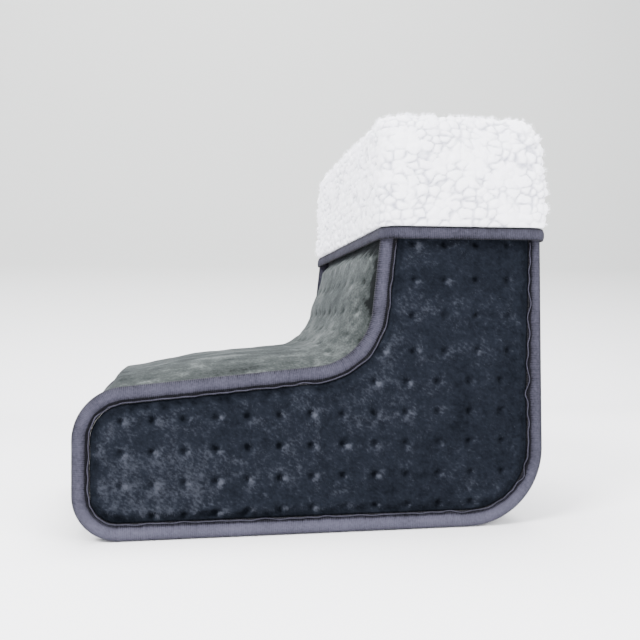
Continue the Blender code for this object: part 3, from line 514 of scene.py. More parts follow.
def side_slab(name, side, loop, shape, front_y, back_y, material, slot):
    """A side layer: a shaped front over a triangle lattice, closed by a wall and a flat back."""
    flat, faces, ring = shape
    verts = [(x, side * y, z) for (x, z), y in zip(flat, front_y)]
    faces = [list(face) for face in faces]
    faces.append(add_wall(verts, faces, ring, [(x, side * back_y, z) for x, z in loop]))
    return make_piece(name, verts, faces, material, slot)


sides = ((-1, "left"), (1, "right"))
side_wadding_inset = shell_edge + 3.0 * mm + layer_gap
wadding_loop = side_loop(side_wadding_inset, rim_height, wadding_step)
wadding_shape = lattice(wadding_loop, wadding_step)
for side, hand in sides:
    piece = side_slab(f"side_wadding_{hand}", side, wadding_loop, wadding_shape,
                      np.full(len(wadding_shape[0]), shell_half), shell_half - wadding_thickness,
                      wadding, "padding")
    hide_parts(f"side_foam_{hand}")


def straight(a, b, steps):
    """The points between two others, which are left out."""
    return [(a[0] + (b[0] - a[0]) * k / steps, a[1] + (b[1] - a[1]) * k / steps)
            for k in range(1, steps)]


def rounded_plate(name, x0, x1, half, low, high, material, slot, radius=26.0 * mm,
                  edge=0.6 * mm, relief=None, step=8.0 * mm, corner_steps=8):
    """A flat cut layer with round corners and softened edges."""
    loop = sum(corner_arcs(x0, x1, -half, half, radius, corner_steps), [])
    even = []
    for a, b in zip(loop, loop[1:] + loop[:1]):
        even += [a, *straight(a, b, max(1, round(math.dist(a, b) / step)))]
    loop = np.array(even)
    centre = loop.mean(0)
    shrink = 1.0 - edge / half
    inner = centre + (loop - centre) * shrink
    flat, faces, ring = lattice(inner, step)
    top = np.full(len(flat), high)
    if relief is not None:
        top = top + relief(np.column_stack([flat, top]))
    verts = [(x, y, z) for (x, y), z in zip(flat, top)]
    faces = [list(face) for face in faces]
    for border, z in ((loop, high - edge), (loop, low + edge), (inner, low)):
        ring = add_wall(verts, faces, ring, [(x, y, z) for x, y in border])
    faces.append(ring)
    return make_piece(name, verts, faces, material, slot)


pad_x0, pad_x1 = toe_x + toe_radius, heel_x - heel_radius
sole_wadding = rounded_plate("sole_wadding", pad_x0, pad_x1, half=98.0 * mm, low=5.0 * mm,
                             high=12.0 * mm, material=wadding, slot="padding")
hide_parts("sole_foam")


# ---- Heating pad under the footbed
# Two needled felts hold a looped silicone heating wire with its safety parts between them.
# The wire's lead runs back from a crimped splice to the inlet.

needled_felt = fibre_material("needled felt", (0.58, 0.54, 0.47), (0.78, 0.75, 0.69),
                              grain=1400.0, clouds=60.0, depth=0.2 * mm)
felt_half = 94.0 * mm
felt_margin = 4.0 * mm
felt_thickness = 1.0 * mm
for name, low in (("lower", 12.4 * mm), ("upper", 17.8 * mm)):
    felt = rounded_plate(f"heating_pad_felt_{name}", pad_x0 + felt_margin, pad_x1, felt_half, low,
                         low + felt_thickness, needled_felt, "felt", edge=0.3 * mm)
    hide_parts(f"heater_felt_{name}")


def grain_group():
    """Fine moulded grain with a slight change of shine, for plastics and rubber."""
    group, given, out = new_group("moulded grain", [("Scale", 2500.0)], ["Tone", "Height"])
    place = add(group, "ShaderNodeTexCoord").outputs["Object"]
    group.links.new(noise_of(group, place, 90.0), out.inputs["Tone"])
    group.links.new(noise_of(group, place, given.outputs["Scale"], 2.0, 0.5), out.inputs["Height"])
    return group


moulded_grain = grain_group()


def moulded_material(name, dark, light, rough_low, rough_high, scale, depth):
    material, tree, shader = new_material(name, rough_low, Specular_IOR_Level=0.25)
    grain = add(tree, "ShaderNodeGroup", node_tree=moulded_grain, Scale=scale)
    colour_between(tree, shader, ramp(tree, grain.outputs["Tone"], 0.35, 0.65), dark, light)
    tree.links.new(ramp(tree, grain.outputs["Tone"], 0.3, 0.7, rough_low, rough_high),
                   shader.inputs["Roughness"])
    raise_by(tree, shader, grain.outputs["Height"], depth)
    return material


silicone = moulded_material("red silicone", (0.42, 0.035, 0.03), (0.58, 0.07, 0.05),
                            rough_low=0.42, rough_high=0.58, scale=1800.0, depth=0.03 * mm)
black_moulding = moulded_material("black moulding", (0.012, 0.012, 0.014), (0.028, 0.028, 0.031),
                                  rough_low=0.38, rough_high=0.56, scale=2600.0, depth=0.05 * mm)


def brushed_group():
    """Fine brushing lines and faint handling marks on plated metal."""
    group, given, out = new_group("brushed plate", [("Lines", 1500.0)], ["Tone", "Height"])
    place = add(group, "ShaderNodeTexCoord").outputs["Object"]
    stretch = add(group, "ShaderNodeMapping", [("Vector", place)], Scale=(1.0, 0.08, 1.0))
    lines = noise_of(group, stretch.outputs["Vector"], given.outputs["Lines"], 2.0, 0.5)
    group.links.new(noise_of(group, place, 220.0, 4.0), out.inputs["Tone"])
    group.links.new(lines, out.inputs["Height"])
    return group


brushed_plate = brushed_group()


def plated_material(name, dark, light):
    material, tree, shader = new_material(name, 0.3, 1.0)
    plate = add(tree, "ShaderNodeGroup", node_tree=brushed_plate)
    colour_between(tree, shader, ramp(tree, plate.outputs["Tone"], 0.3, 0.7), dark, light)
    tree.links.new(ramp(tree, plate.outputs["Tone"], 0.3, 0.7, 0.24, 0.42),
                   shader.inputs["Roughness"])
    raise_by(tree, shader, plate.outputs["Height"], 0.02 * mm)
    return material


nickel = plated_material("nickel plate", (0.50, 0.48, 0.45), (0.70, 0.68, 0.64))


def finish_node(node, material, bevel=0.0):
    """A rigid CAD node keeps its shape, with its real finish and slightly worn edges."""
    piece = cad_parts[node]
    piece.data.materials.clear()
    piece.data.materials.append(material)
    if bevel:
        rounding = piece.modifiers.new("edges", "BEVEL")
        rounding.width = bevel
        rounding.segments = 2
        rounding.limit_method = "ANGLE"
        rounding.angle_limit = math.radians(35.0)


finish_node("heating_wire", silicone)
finish_node("heater_lead", silicone)
finish_node("lead_splice", black_moulding, 0.5 * mm)
finish_node("temperature_sensor", black_moulding)
finish_node("thermostat", nickel)
finish_node("thermal_fuse", nickel)


# ---- Sherpa lining and footbed
# Cream-white curly sherpa lines the inside: four wall pieces and a loose footbed over the heater.
# Its pile is knitted in and stands in soft curls a few millimetres across.

curl_width = 8.4 * mm
curl_length = 6.0 * mm
curl_height = 1.5 * mm
curl_reach = np.random.default_rng(11).random((128, 128, 4))


def waver(u, v, size, seed, around=0.0):
    """Smooth random values from -1 to 1 over a flat pattern, which can close round a ring."""
    count = max(4, round(around / size)) if around else 128
    x, y = u * (count / around if around else 1.0 / size), v / size
    i, j = np.floor(x).astype(int), np.floor(y).astype(int)
    p, q = ease(x - i), ease(y - j)

    def spot(a, b):
        return curl_reach[(a % count + 17 * seed) % 128, (b + 29 * seed) % 128, 3]

    low = spot(i, j) * (1 - p) + spot(i + 1, j) * p
    high = spot(i, j + 1) * (1 - p) + spot(i + 1, j + 1) * p
    return 2.0 * (low * (1 - q) + high * q) - 1.0


def curls(u, v, around=0.0):
    """Height of the curls, 0 in the gaps to about 1: lumps of many sizes, some run together."""
    shift = waver(u, v, 4.6 * mm, 1, around), waver(u, v, 4.6 * mm, 2, around)
    slow = waver(u, v, 21.0 * mm, 3, around), waver(u, v, 21.0 * mm, 4, around)
    count = max(4, round(around / curl_width)) if around else 128
    x = u * (count / around if around else 1.0 / curl_width) + 0.17 * shift[0] + 0.25 * slow[0]
    y = v / curl_length + 0.17 * shift[1] + 0.25 * slow[1]
    column, row = np.floor(x).astype(int), np.floor(y).astype(int)
    near, second = np.full(x.shape, 9.0), np.full(x.shape, 9.0)
    lift = np.zeros(x.shape)
    for i in (-2, -1, 0, 1, 2):
        for j in (-2, -1, 0, 1, 2):
            spot = curl_reach[((column + i) % count) % 128, (row + j) % 128]
            reach = np.hypot(column + i + 0.05 + 0.9 * spot[..., 0] - x,
                             row + j + 0.05 + 0.9 * spot[..., 1] - y) - 0.28 * spot[..., 2]
            closer = reach < near
            second = np.where(closer, near, np.minimum(second, reach))
            lift = np.where(closer, spot[..., 2], lift)
            near = np.where(closer, reach, near)
    part = np.clip((second - near) / 0.8, 0.0, 1.0)
    merge = np.clip(0.80 + 0.6 * waver(u, v, 8.6 * mm, 6, around), 0.4, 1.0)
    lump = 1.0 - merge * (1.0 - part) ** 2
    fine = 0.5 + 0.5 * waver(u, v, 2.3 * mm, 5, around)
    return lump * (0.62 + 0.26 * lift) + 0.12 * fine


def curl_group():
    """Fine looped pile on the curls: small loops and a fuzz of fibre ends."""
    group, given, out = new_group("looped pile", [("Loops", 520.0)], ["Tone", "Height"])
    place = add(group, "ShaderNodeTexCoord").outputs["Object"]
    bend = add(group, "ShaderNodeMix", data_type="VECTOR")
    wander = add(group, "ShaderNodeTexNoise", [("Vector", place)], Scale=260.0, Detail=3.0)
    bend.inputs["Factor"].default_value = 0.004
    group.links.new(place, bend.inputs[4])
    group.links.new(wander.outputs["Color"], bend.inputs[5])
    loops = add(group, "ShaderNodeTexVoronoi",
                [("Vector", bend.outputs[1]), ("Scale", given.outputs["Loops"])],
                feature="SMOOTH_F1")
    fuzz = noise_of(group, place, 1900.0, 4.0, 0.65)
    group.links.new(fuzz, out.inputs["Tone"])
    group.links.new(weighed(group, loops.outputs["Distance"], 0.6, fuzz, 0.4),
                    out.inputs["Height"])
    return group


looped_pile = curl_group()


def sherpa_material(name, crack_shade, fluff):
    material, tree, shader = new_material(name, 0.95, Sheen_Weight=0.3, Sheen_Roughness=0.6,
                                          Specular_IOR_Level=0.2)
    pile = add(tree, "ShaderNodeGroup", node_tree=looped_pile)
    curl = add(tree, "ShaderNodeAttribute", attribute_name="curl")
    # The colour runs from painted shade in the cracks between curls to the white of their tops.
    tone = weighed(tree, curl.outputs["Fac"], 0.9, pile.outputs["Tone"], 0.15)
    colour_between(tree, shader, ramp(tree, tone, 0.08, 0.58), crack_shade, fluff)
    raise_by(tree, shader, pile.outputs["Height"], 0.5 * mm, 0.6)
    return material


# The first colour is the painted shade of the cracks between the curls.
white_sherpa = sherpa_material("white sherpa", (0.25, 0.255, 0.33), (0.945, 0.94, 1.0))


def keep_values(piece, name, values):
    """Keeps one value for each point of a piece, for its material to read."""
    piece.data.attributes.new(name, "FLOAT", "POINT").data.foreach_set("value", values)


def mark_curls(piece, known, first=0):
    """Keeps the height of the curls with the mesh, for the painted shade in the cracks between
    them.
    """
    values = np.ones(len(piece.data.vertices))
    values[first:first + len(known)] = known
    keep_values(piece, "curl", values)


lining_step = 2.6 * mm
lining_offset = wadding_offset + wadding_thickness + layer_gap
lining_top = 280.0 * mm
back_lining_inset = 15.4 * mm
side_lining_inset = 16.8 * mm
wall_curls = []


def lining_relief(s, y, points):
    wall_curls.append(curls(s, y))
    return wall_curls[-1] * curl_height


instep_sherpa = wrapped("instep_sherpa", front_mark(lining_top), wadding_bend_end, lining_half,
                        lambda s, y: shell_inset(s, y) + lining_offset, sherpa_thickness,
                        lining_step, white_sherpa, "sherpa", lining_relief, True)
back_sherpa = wrapped("back_sherpa", heel_start, back_mark(lining_top), lining_half,
                      lambda s, y: np.full(s.shape, back_lining_inset), sherpa_thickness,
                      lining_step, white_sherpa, "sherpa", lining_relief, True)
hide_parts("instep_lining")
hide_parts("back_lining")
lining_loop = side_loop(side_lining_inset, lining_top, lining_step)
lining_shape = lattice(lining_loop, lining_step)
lining_outer = 115.1 * mm
for piece, known in zip((instep_sherpa, back_sherpa), wall_curls):
    mark_curls(piece, known.ravel(), known.size)
for side, hand in sides:
    flat = lining_shape[0]
    inner = lining_outer - sherpa_thickness
    known = curls(flat[:, 0], flat[:, 1])
    front = inner - known * curl_height
    piece = side_slab(f"side_sherpa_{hand}", side, lining_loop, lining_shape, front,
                      lining_outer, white_sherpa, "sherpa")
    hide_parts(f"side_lining_{hand}")
    mark_curls(piece, known)


def footbed_relief(points):
    wall_curls.append(curls(points[:, 0], points[:, 1]))
    return wall_curls[-1] * curl_height


footbed = rounded_plate("footbed_sherpa", toe_x + 24.0 * mm, heel_x - 37.0 * mm,
                        half=105.0 * mm, low=19.2 * mm, high=26.2 * mm, material=white_sherpa,
                        slot="sherpa", edge=2.0 * mm, relief=footbed_relief, step=lining_step)
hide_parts("footbed_lining")
mark_curls(footbed, wall_curls[-1])


# ---- Plush over the instep, toe and back
# Brushed short-pile plush, quilted to the wadding with small sewn points, goes up the front,
# over the instep and round the toe. A second piece goes up the heel and the back.

quilt_pitch = 22.0 * mm
quilt_depth = 1.1 * mm
quilt_radius = 3.0 * mm


def rumple(points, size, depth):
    """Smooth random waves of one size, up to about their depth either way."""
    flat = points.reshape(-1, 3)
    values = [noise.noise(Vector(p) / size) for p in flat]
    return np.array(values).reshape(points.shape[:-1]) * depth


def rumples(points, *layers):
    """Rumples of several sizes and depths together."""
    return sum(rumple(points, size, depth) for size, depth in layers)


def quilt_reach(s, y):
    """Offsets from the nearest sewn point, along the outline and across."""
    along = (s - starts["instep_bend"]) / quilt_pitch
    across = y / quilt_pitch + 0.5
    return ((along - np.round(along)) * quilt_pitch, (across - np.round(across)) * quilt_pitch)


def foot_share(s):
    """1 on the top of the foot, where the pile lies smooth, and 0 up the shaft."""
    return ease((s - starts["foot_top"] + 10.0 * mm) / (30.0 * mm))


def plush_relief(s, y, points):
    """Sewn points in a square quilt, soft rumples, and a crease across the instep bend."""
    along, across = quilt_reach(s, y)
    reach = np.hypot(along, across)
    dimple = np.exp(-(reach / quilt_radius) ** 2) * quilt_depth
    dimple += np.exp(-(reach / (7.0 * mm)) ** 2) * 0.5 * mm
    fold = (starts["instep_bend"] + starts["foot_top"]) / 2 + rumple(points, 40.0 * mm, 5.0 * mm)
    crease = np.exp(-((s - fold) / (4.0 * mm)) ** 2) * 0.8 * mm
    hem = ease((shell_half - np.abs(y)) / (7.0 * mm))
    swell = rumples(points, (9.0 * mm, 0.25 * mm), (15.0 * mm, 0.45 * mm),
                    (34.0 * mm, 0.7 * mm))
    clear = ease((points[..., 2] - 2.0 * mm) / (14.0 * mm))
    return (swell - dimple * (1.0 - 0.85 * foot_share(s)) - crease) * hem * clear


def pile_group():
    """Short brushed pile: clouds where it lies one way or the other, and streaks of fibre."""
    group, given, out = new_group("brushed pile", [("Clouds", 38.0), ("Streaks", 640.0)],
                                  ["Cloud", "Streak", "Height"])
    place = add(group, "ShaderNodeTexCoord").outputs["Object"]
    lay = add(group, "ShaderNodeMapping", [("Vector", place)], vector_type="TEXTURE",
              Rotation=(0.0, math.radians(-52.0), 0.0), Scale=(1.0, 1.0, 1.8))
    cloud = noise_of(group, place, given.outputs["Clouds"], 3.5, 0.5, Distortion=0.6)
    streak = noise_of(group, lay.outputs["Vector"], given.outputs["Streaks"], 3.0, 0.5)
    height = weighed(group, streak, 0.7, noise_of(group, place, 1500.0), 0.3)
    group.links.new(cloud, out.inputs["Cloud"])
    group.links.new(height, out.inputs["Streak"])
    group.links.new(height, out.inputs["Height"])
    return group


brushed_pile = pile_group()


def plush_material(name, deep, middle, bright, clouds, sheen):
    """Plush whose tone follows how its pile lies and its painted shading: deep where pressed and in
    painted shade, bright where it turns and in painted highlights.
    """
    material, tree, shader = new_material(name, 0.88, Sheen_Weight=sheen, Sheen_Roughness=0.4,
                                          Specular_IOR_Level=0.02)
    shader.inputs["Sheen Tint"].default_value = (0.75, 0.82, 0.92, 1.0)
    pile = add(tree, "ShaderNodeGroup", node_tree=brushed_pile, Clouds=clouds)
    # The lie value holds how the pile lies together with painted shade in pits and seams and
    # painted highlights beside the pits.
    lie = add(tree, "ShaderNodeAttribute", attribute_name="lie")
    grain = weighed(tree, pile.outputs["Cloud"], 0.15, pile.outputs["Streak"], 0.85)
    tone = maths(tree, "ADD", maths(tree, "MULTIPLY", grain, 0.95), lie.outputs["Fac"])
    steps = tree.nodes.new("ShaderNodeValToRGB")
    tree.links.new(ramp(tree, tone, 0.1, 1.5), steps.inputs["Fac"])
    steps.color_ramp.elements[0].position = 0.30
    steps.color_ramp.elements[0].color = (*deep, 1.0)
    steps.color_ramp.elements[1].position = 0.94
    steps.color_ramp.elements[1].color = (*bright, 1.0)
    steps.color_ramp.elements.new(0.62).color = (*middle, 1.0)
    tree.links.new(steps.outputs["Color"], shader.inputs["Base Color"])
    raise_by(tree, shader, pile.outputs["Height"], 0.8 * mm, 0.6)
    return material


hidden_lie = 0.3


def mark_lie_and_shading(piece, known):
    """Keeps how the pile lies, with its painted shading, with the mesh: about 0.5, less where
    pressed and in painted shade, more where raised and in painted highlights.
    """
    values = np.full(len(piece.data.vertices), hidden_lie)
    values[:len(known)] = known
    keep_values(piece, "lie", values)


wall_lie_and_shading = []
front_lie = 0.54
back_lie = 0.40
back_contrast = 0.6
shaft_low_z = 172.0 * mm


def quilted_lie_and_shading(s, y, points):
    """Painted shade in the pits with a painted highlight beside each, painted shade along ragged
    seams, and slow random changes of tone.

    The painted seam shade is darkest up the shaft. A painted shadow with dark ragged tips falls
    under the hem, and long streaks run along the foot, where the pits fade. The top of the foot is
    painted darker than the shaft, as painted light. On the back the pile lies darker and more even.
    """
    along, across = quilt_reach(s, y)
    foot = foot_share(s)
    share = 1.0 - 0.8 * foot
    from_seam = shell_half - np.abs(y)
    # Painted shade in each sewn pit.
    pit_shade = np.exp(-(np.hypot(along, across) / (2.4 * mm)) ** 2)
    pit_shade = pit_shade * ease((from_seam - 4.0 * mm) / (8.0 * mm))
    # Painted highlight beside each pit.
    fleck_highlight = np.exp(-(np.hypot(along - 3.4 * mm, across + 2.2 * mm) / (2.6 * mm)) ** 2)
    # Painted shade along the seams beside the binding, deepest up the shaft.
    seam = from_seam + rumple(points, 6.0 * mm, 7.0 * mm)
    shaft = 1.0 - ease((s - front_mark(shaft_low_z)) / (30.0 * mm))
    edge = 1.0 - ease((seam - 2.5 * mm - 6.5 * mm * shaft) / (3.0 * mm + 4.0 * mm * shaft))
    edge = edge * (0.55 + 0.45 * shaft) * (1.0 - 0.45 * foot)
    # Painted shadow under the cuff's hem, with ragged dark tips.
    below = s - front_mark(hem_z) + rumple(points * (1.0, 1.0, 0.3) + 0.2, 4.0 * mm, 7.0 * mm)
    below = (below - 3.0 * mm - 3.5 * mm * (np.abs(y) / shell_half) ** 3) / (3.0 * mm)
    edge = np.maximum(edge, np.where(s < starts["foot_top"], 1.0 - ease(below), 0.0))
    slow = rumples(points, (45.0 * mm, 0.17), (12.0 * mm, 0.14), (5.0 * mm, 0.15))
    slow += foot * (rumple(points * (0.22, 1.0, 1.0) + 0.4, 9.0 * mm, 0.36)
                    + rumple(points * (0.3, 1.0, 1.0) + 0.6, 3.8 * mm, 0.30))
    ragged = 0.5 + rumple(points, 7.0 * mm, 0.9)
    # The top of the foot is painted darker than the shaft, as painted light.
    lie = (front_lie - 0.12 * foot + slow * (1.0 - 0.35 * foot) - edge * 0.60
           + share * (fleck_highlight * ragged * 0.4 - pit_shade * 0.30))
    return np.where(s > starts["sole"], back_lie + (lie - front_lie) * back_contrast, lie)


def plush_wrap(name, first, last, relief, material):
    """A plush layer over its padding, with how its pile lies and its painted light and shade
    marked.
    """
    def quilted(s, y, points):
        wall_lie_and_shading.append(quilted_lie_and_shading(s, y, points))
        return relief(s, y, points)

    piece = wrapped(name, first, last, shell_half, shell_inset, plush_thickness, plush_step,
                    material, "plush", quilted)
    mark_lie_and_shading(piece, wall_lie_and_shading[-1].ravel())
    return piece


top_plush = plush_material("brushed top plush", (0.006, 0.007, 0.007), (0.033, 0.0375, 0.037),
                           (0.105, 0.114, 0.113), clouds=60.0, sheen=0.05)
plush_step = 1.9 * mm
instep_plush = plush_wrap("instep_plush", 0.0, starts["sole"] - layer_gap / 2, plush_relief,
                          top_plush)
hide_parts("instep_panel")

side_plush = plush_material("slate side plush", (0.0012, 0.0017, 0.0028), (0.0067, 0.0083, 0.0121),
                            (0.039, 0.0425, 0.054), clouds=46.0, sheen=0.015)


def back_relief(s, y, points):
    """The back's quilt lies flat by the zip and the inlet."""
    place, _ = walk(s)
    z = place[..., 1]
    clear = ease((np.abs(z - zip_z) - 15.0 * mm) / (14.0 * mm))
    return plush_relief(s, y, points) * np.where(s > starts["heel_bend"], clear, 1.0)


back_plush = plush_wrap("back_plush", starts["heel_bend"] + layer_gap / 2, outline_length,
                        back_relief, side_plush)
slit_y0, slit_y1 = -96.0 * mm, 54.0 * mm
slit_half = 6.5 * mm
slit_corner = 1.5 * mm
back_plush_inset = 3.0 * mm
slit = cutter_box(heel_x - 10.5 * mm, heel_x + 4.0 * mm, slit_y0, slit_y1, zip_z - slit_half,
                  zip_z + slit_half, slit_corner)
cut(back_plush, [slit, inlet_opening(back_plush_inset)])
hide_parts("back_panel")


# ---- Sole fabric
# A dark woven fabric goes under the foot, stretched between the seams and the toe and heel bends.
# Rows of small dots moulded on it keep the boot from sliding.

sole_dark = fibre_material("woven sole fabric", (0.014, 0.014, 0.017), (0.034, 0.034, 0.039),
                           grain=1600.0, clouds=50.0, depth=0.15 * mm, roughness=0.75)
dot_lift = 0.5 * mm
sole_thickness = 2.5 * mm
sole_step = 3.0 * mm
sole_fabric = wrapped("sole_fabric", starts["sole"] + layer_gap / 2,
                      starts["heel_bend"] - layer_gap / 2, shell_half,
                      lambda s, y: shell_inset(s, y) + dot_lift, sole_thickness, sole_step,
                      sole_dark, "grip_fabric")
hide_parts("sole_panel")

dot_pitch = 9.0 * mm
dot_radius = 1.6 * mm
dot_sides = 10
dots_half = 88.0 * mm


def grip_dots():
    """Low round dots with a sloping edge, set in rows half a pitch apart."""
    verts, faces = [], []
    across = np.arange(-dots_half, dots_half + 0.1 * mm, dot_pitch)
    along = np.arange(toe_x + 40.0 * mm, heel_x - 63.0 * mm, dot_pitch)
    for row, y in enumerate(across):
        for x in along + (row % 2) * dot_pitch / 2:
            first = len(verts)
            for share, drop in ((1.0, 0.25), (1.0, 0.0), (0.62, -0.42)):
                verts += [(x + dot_radius * share * math.cos(math.tau * k / dot_sides),
                           y + dot_radius * share * math.sin(math.tau * k / dot_sides),
                           dot_lift + drop * mm) for k in range(dot_sides)]
            for ring in range(2):
                for k in range(dot_sides):
                    a, b = first + ring * dot_sides + k, first + ring * dot_sides
                    b += (k + 1) % dot_sides
                    faces.append((a, b, b + dot_sides, a + dot_sides))
            faces.append([first + k for k in range(dot_sides)])
            faces.append([first + 2 * dot_sides + k for k in range(dot_sides)])
    return verts, faces


make_piece("grip_dots", *grip_dots(), black_moulding, "grip_fabric")


# ---- Quilted side panels
# Each side is one L-shaped pad of slate plush over wadding. It is sewn through at small points in
# rows, so the pile dips at each point, and its border bulges beside the binding. Short blades of
# pile stand on it.

binding_lift = 0.4 * mm
binding_width = 12.0 * mm
binding_back_width = 9.0 * mm
binding_middle = 127.0 * mm
flange_half = 1.1 * mm
binding_top = 212.4 * mm
pad_step = 1.7 * mm
pad_top = rim_height - 12.0 * mm
pad_stand = half_width - binding_middle - flange_half
tuft_columns, tuft_rows, foot_rows = 15, 13, 5
column_pitch = 21.2 * mm
foot_row_pitch = 21.9 * mm
shaft_row_pitch = 25.7 * mm


def binding_reach(along):
    """How far the tape reaches in over the side: its width, which narrows up the heel."""
    return eased(along, [(starts["heel_bend"], binding_width), (back_mark(zip_z), binding_width),
                         (back_mark(binding_top), binding_back_width)])


def tuft_places(pad):
    """The sewn points: rows and columns whose pitch grows to the heel and up the shaft."""
    spots = []
    for column in range(tuft_columns):
        for row in range(tuft_rows):
            x = toe_x + 33.0 * mm + column_pitch * column * (1.0 + 0.0058 * column)
            z = (18.5 * mm + foot_row_pitch * min(row, foot_rows)
                 + shaft_row_pitch * max(row - foot_rows, 0))
            z -= 2.6 * mm * (1.0 - ease((x - toe_x) / (170.0 * mm)))
            x += 6.0 * mm * ease(row - 4.0)
            spots.append((x, z))
    spots = np.array(spots)
    spots = spots[inside(spots, pad)]
    return spots[edge_distance(spots, pad) > 3.6 * mm]


def pad_inset(along):
    return binding_lift + binding_reach(along) + 0.3 * mm


pad_loop = side_loop(pad_inset, pad_top, pad_step)
pad_shape = lattice(pad_loop, pad_step)
pad_x, pad_z = pad_shape[0].T
pad_places = np.column_stack([pad_x, np.zeros(len(pad_x)), pad_z])
tufts = tuft_places(pad_loop)


def near_points(flat, spots, radius):
    """How close each place is to its nearest spot, 1 on it and fading over the radius."""
    value = np.zeros(len(flat))
    for x, z in spots:
        value = np.maximum(value, np.exp(-(np.hypot(flat[:, 0] - x, flat[:, 1] - z) / radius) ** 2))
    return value


cloth_step = 3.6 * mm
cloth_frames = 24
wadding_push = 4.0
sewn_radius = 2.3 * mm
sewn_hold = 0.45


def blown_pad():
    """The pad's plush as cloth: sewn down at its border and points, and pushed out by wadding."""
    loop = side_loop(pad_inset, pad_top, cloth_step)
    flat, faces, ring = lattice(loop, cloth_step)
    border = edge_distance(flat, loop)
    sewn = near_points(flat, tufts, sewn_radius)
    height = pad_stand * 0.8 * np.sqrt(ease(border / (9.0 * mm))) - 2.2 * mm * sewn
    mesh = bpy.data.meshes.new("pad_cloth")
    mesh.from_pydata([(x, y, z) for (x, z), y in zip(flat, height)], [], faces)
    cloth = placed("pad_cloth", mesh)
    if mesh.polygons[0].normal.y < 0.0:
        mesh.flip_normals()
    held = cloth.vertex_groups.new(name="sewn")
    held.add([int(k) for k in [*np.where(sewn > sewn_hold)[0], *ring]], 1.0, "REPLACE")
    modifier = cloth.modifiers.new("cloth", "CLOTH")
    settings = modifier.settings
    settings.vertex_group_mass = "sewn"
    settings.quality = 6
    settings.mass = 0.15
    settings.tension_stiffness = 12.0
    settings.compression_stiffness = 12.0
    settings.shear_stiffness = 6.0
    settings.bending_stiffness = 0.35
    settings.shrink_min = -0.035
    settings.use_pressure = True
    settings.uniform_pressure_force = wadding_push
    settings.effector_weights.gravity = 0.0
    scene = bpy.context.scene
    scene.frame_start, scene.frame_end = 1, cloth_frames
    modifier.point_cache.frame_start, modifier.point_cache.frame_end = 1, cloth_frames
    for frame_number in range(1, cloth_frames + 1):
        scene.frame_set(frame_number)
    smooth = cloth.modifiers.new("smooth", "SUBSURF")
    smooth.levels = 1
    evaluated = cloth.evaluated_get(bpy.context.evaluated_depsgraph_get())
    made = bpy.data.meshes.new_from_object(evaluated)
    tree = BVHTree.FromPolygons([tuple(v.co) for v in made.vertices],
                                [tuple(p.vertices) for p in made.polygons])
    scene.frame_set(1)
    bpy.data.meshes.remove(made)
    bpy.data.objects.remove(cloth, do_unlink=True)
    return tree


lowest_pad, highest_pad = -1.0 * mm, pad_stand + 3.6 * mm
pit_depth = 2.0 * mm


def pad_height():
    """How far the pad's face stands out over its lattice, with the rumples of its pile."""
    flat = pad_shape[0]
    border = edge_distance(flat, pad_loop)
    tree = blown_pad()
    hits = [tree.ray_cast(Vector((x, -0.05, z)), Vector((0.0, 1.0, 0.0)))[0] for x, z in flat]
    height = np.array([hit.y if hit is not None else 0.0 for hit in hits])
    height = np.clip(height, lowest_pad, highest_pad)
    start = 2.2 * mm + rumple(pad_places + 0.1, 8.0 * mm, 2.6 * mm)
    rise = np.sqrt(ease((border - start) / (5.0 * mm)))
    height = height * rise
    height += rumples(pad_places, (8.0 * mm, 0.55 * mm), (4.0 * mm, 0.3 * mm),
                      (26.0 * mm, 0.7 * mm)) * rise
    height -= pit_depth * near_points(flat, tufts, 2.1 * mm)
    return binding_middle + flange_half + height


side_lie = 0.395


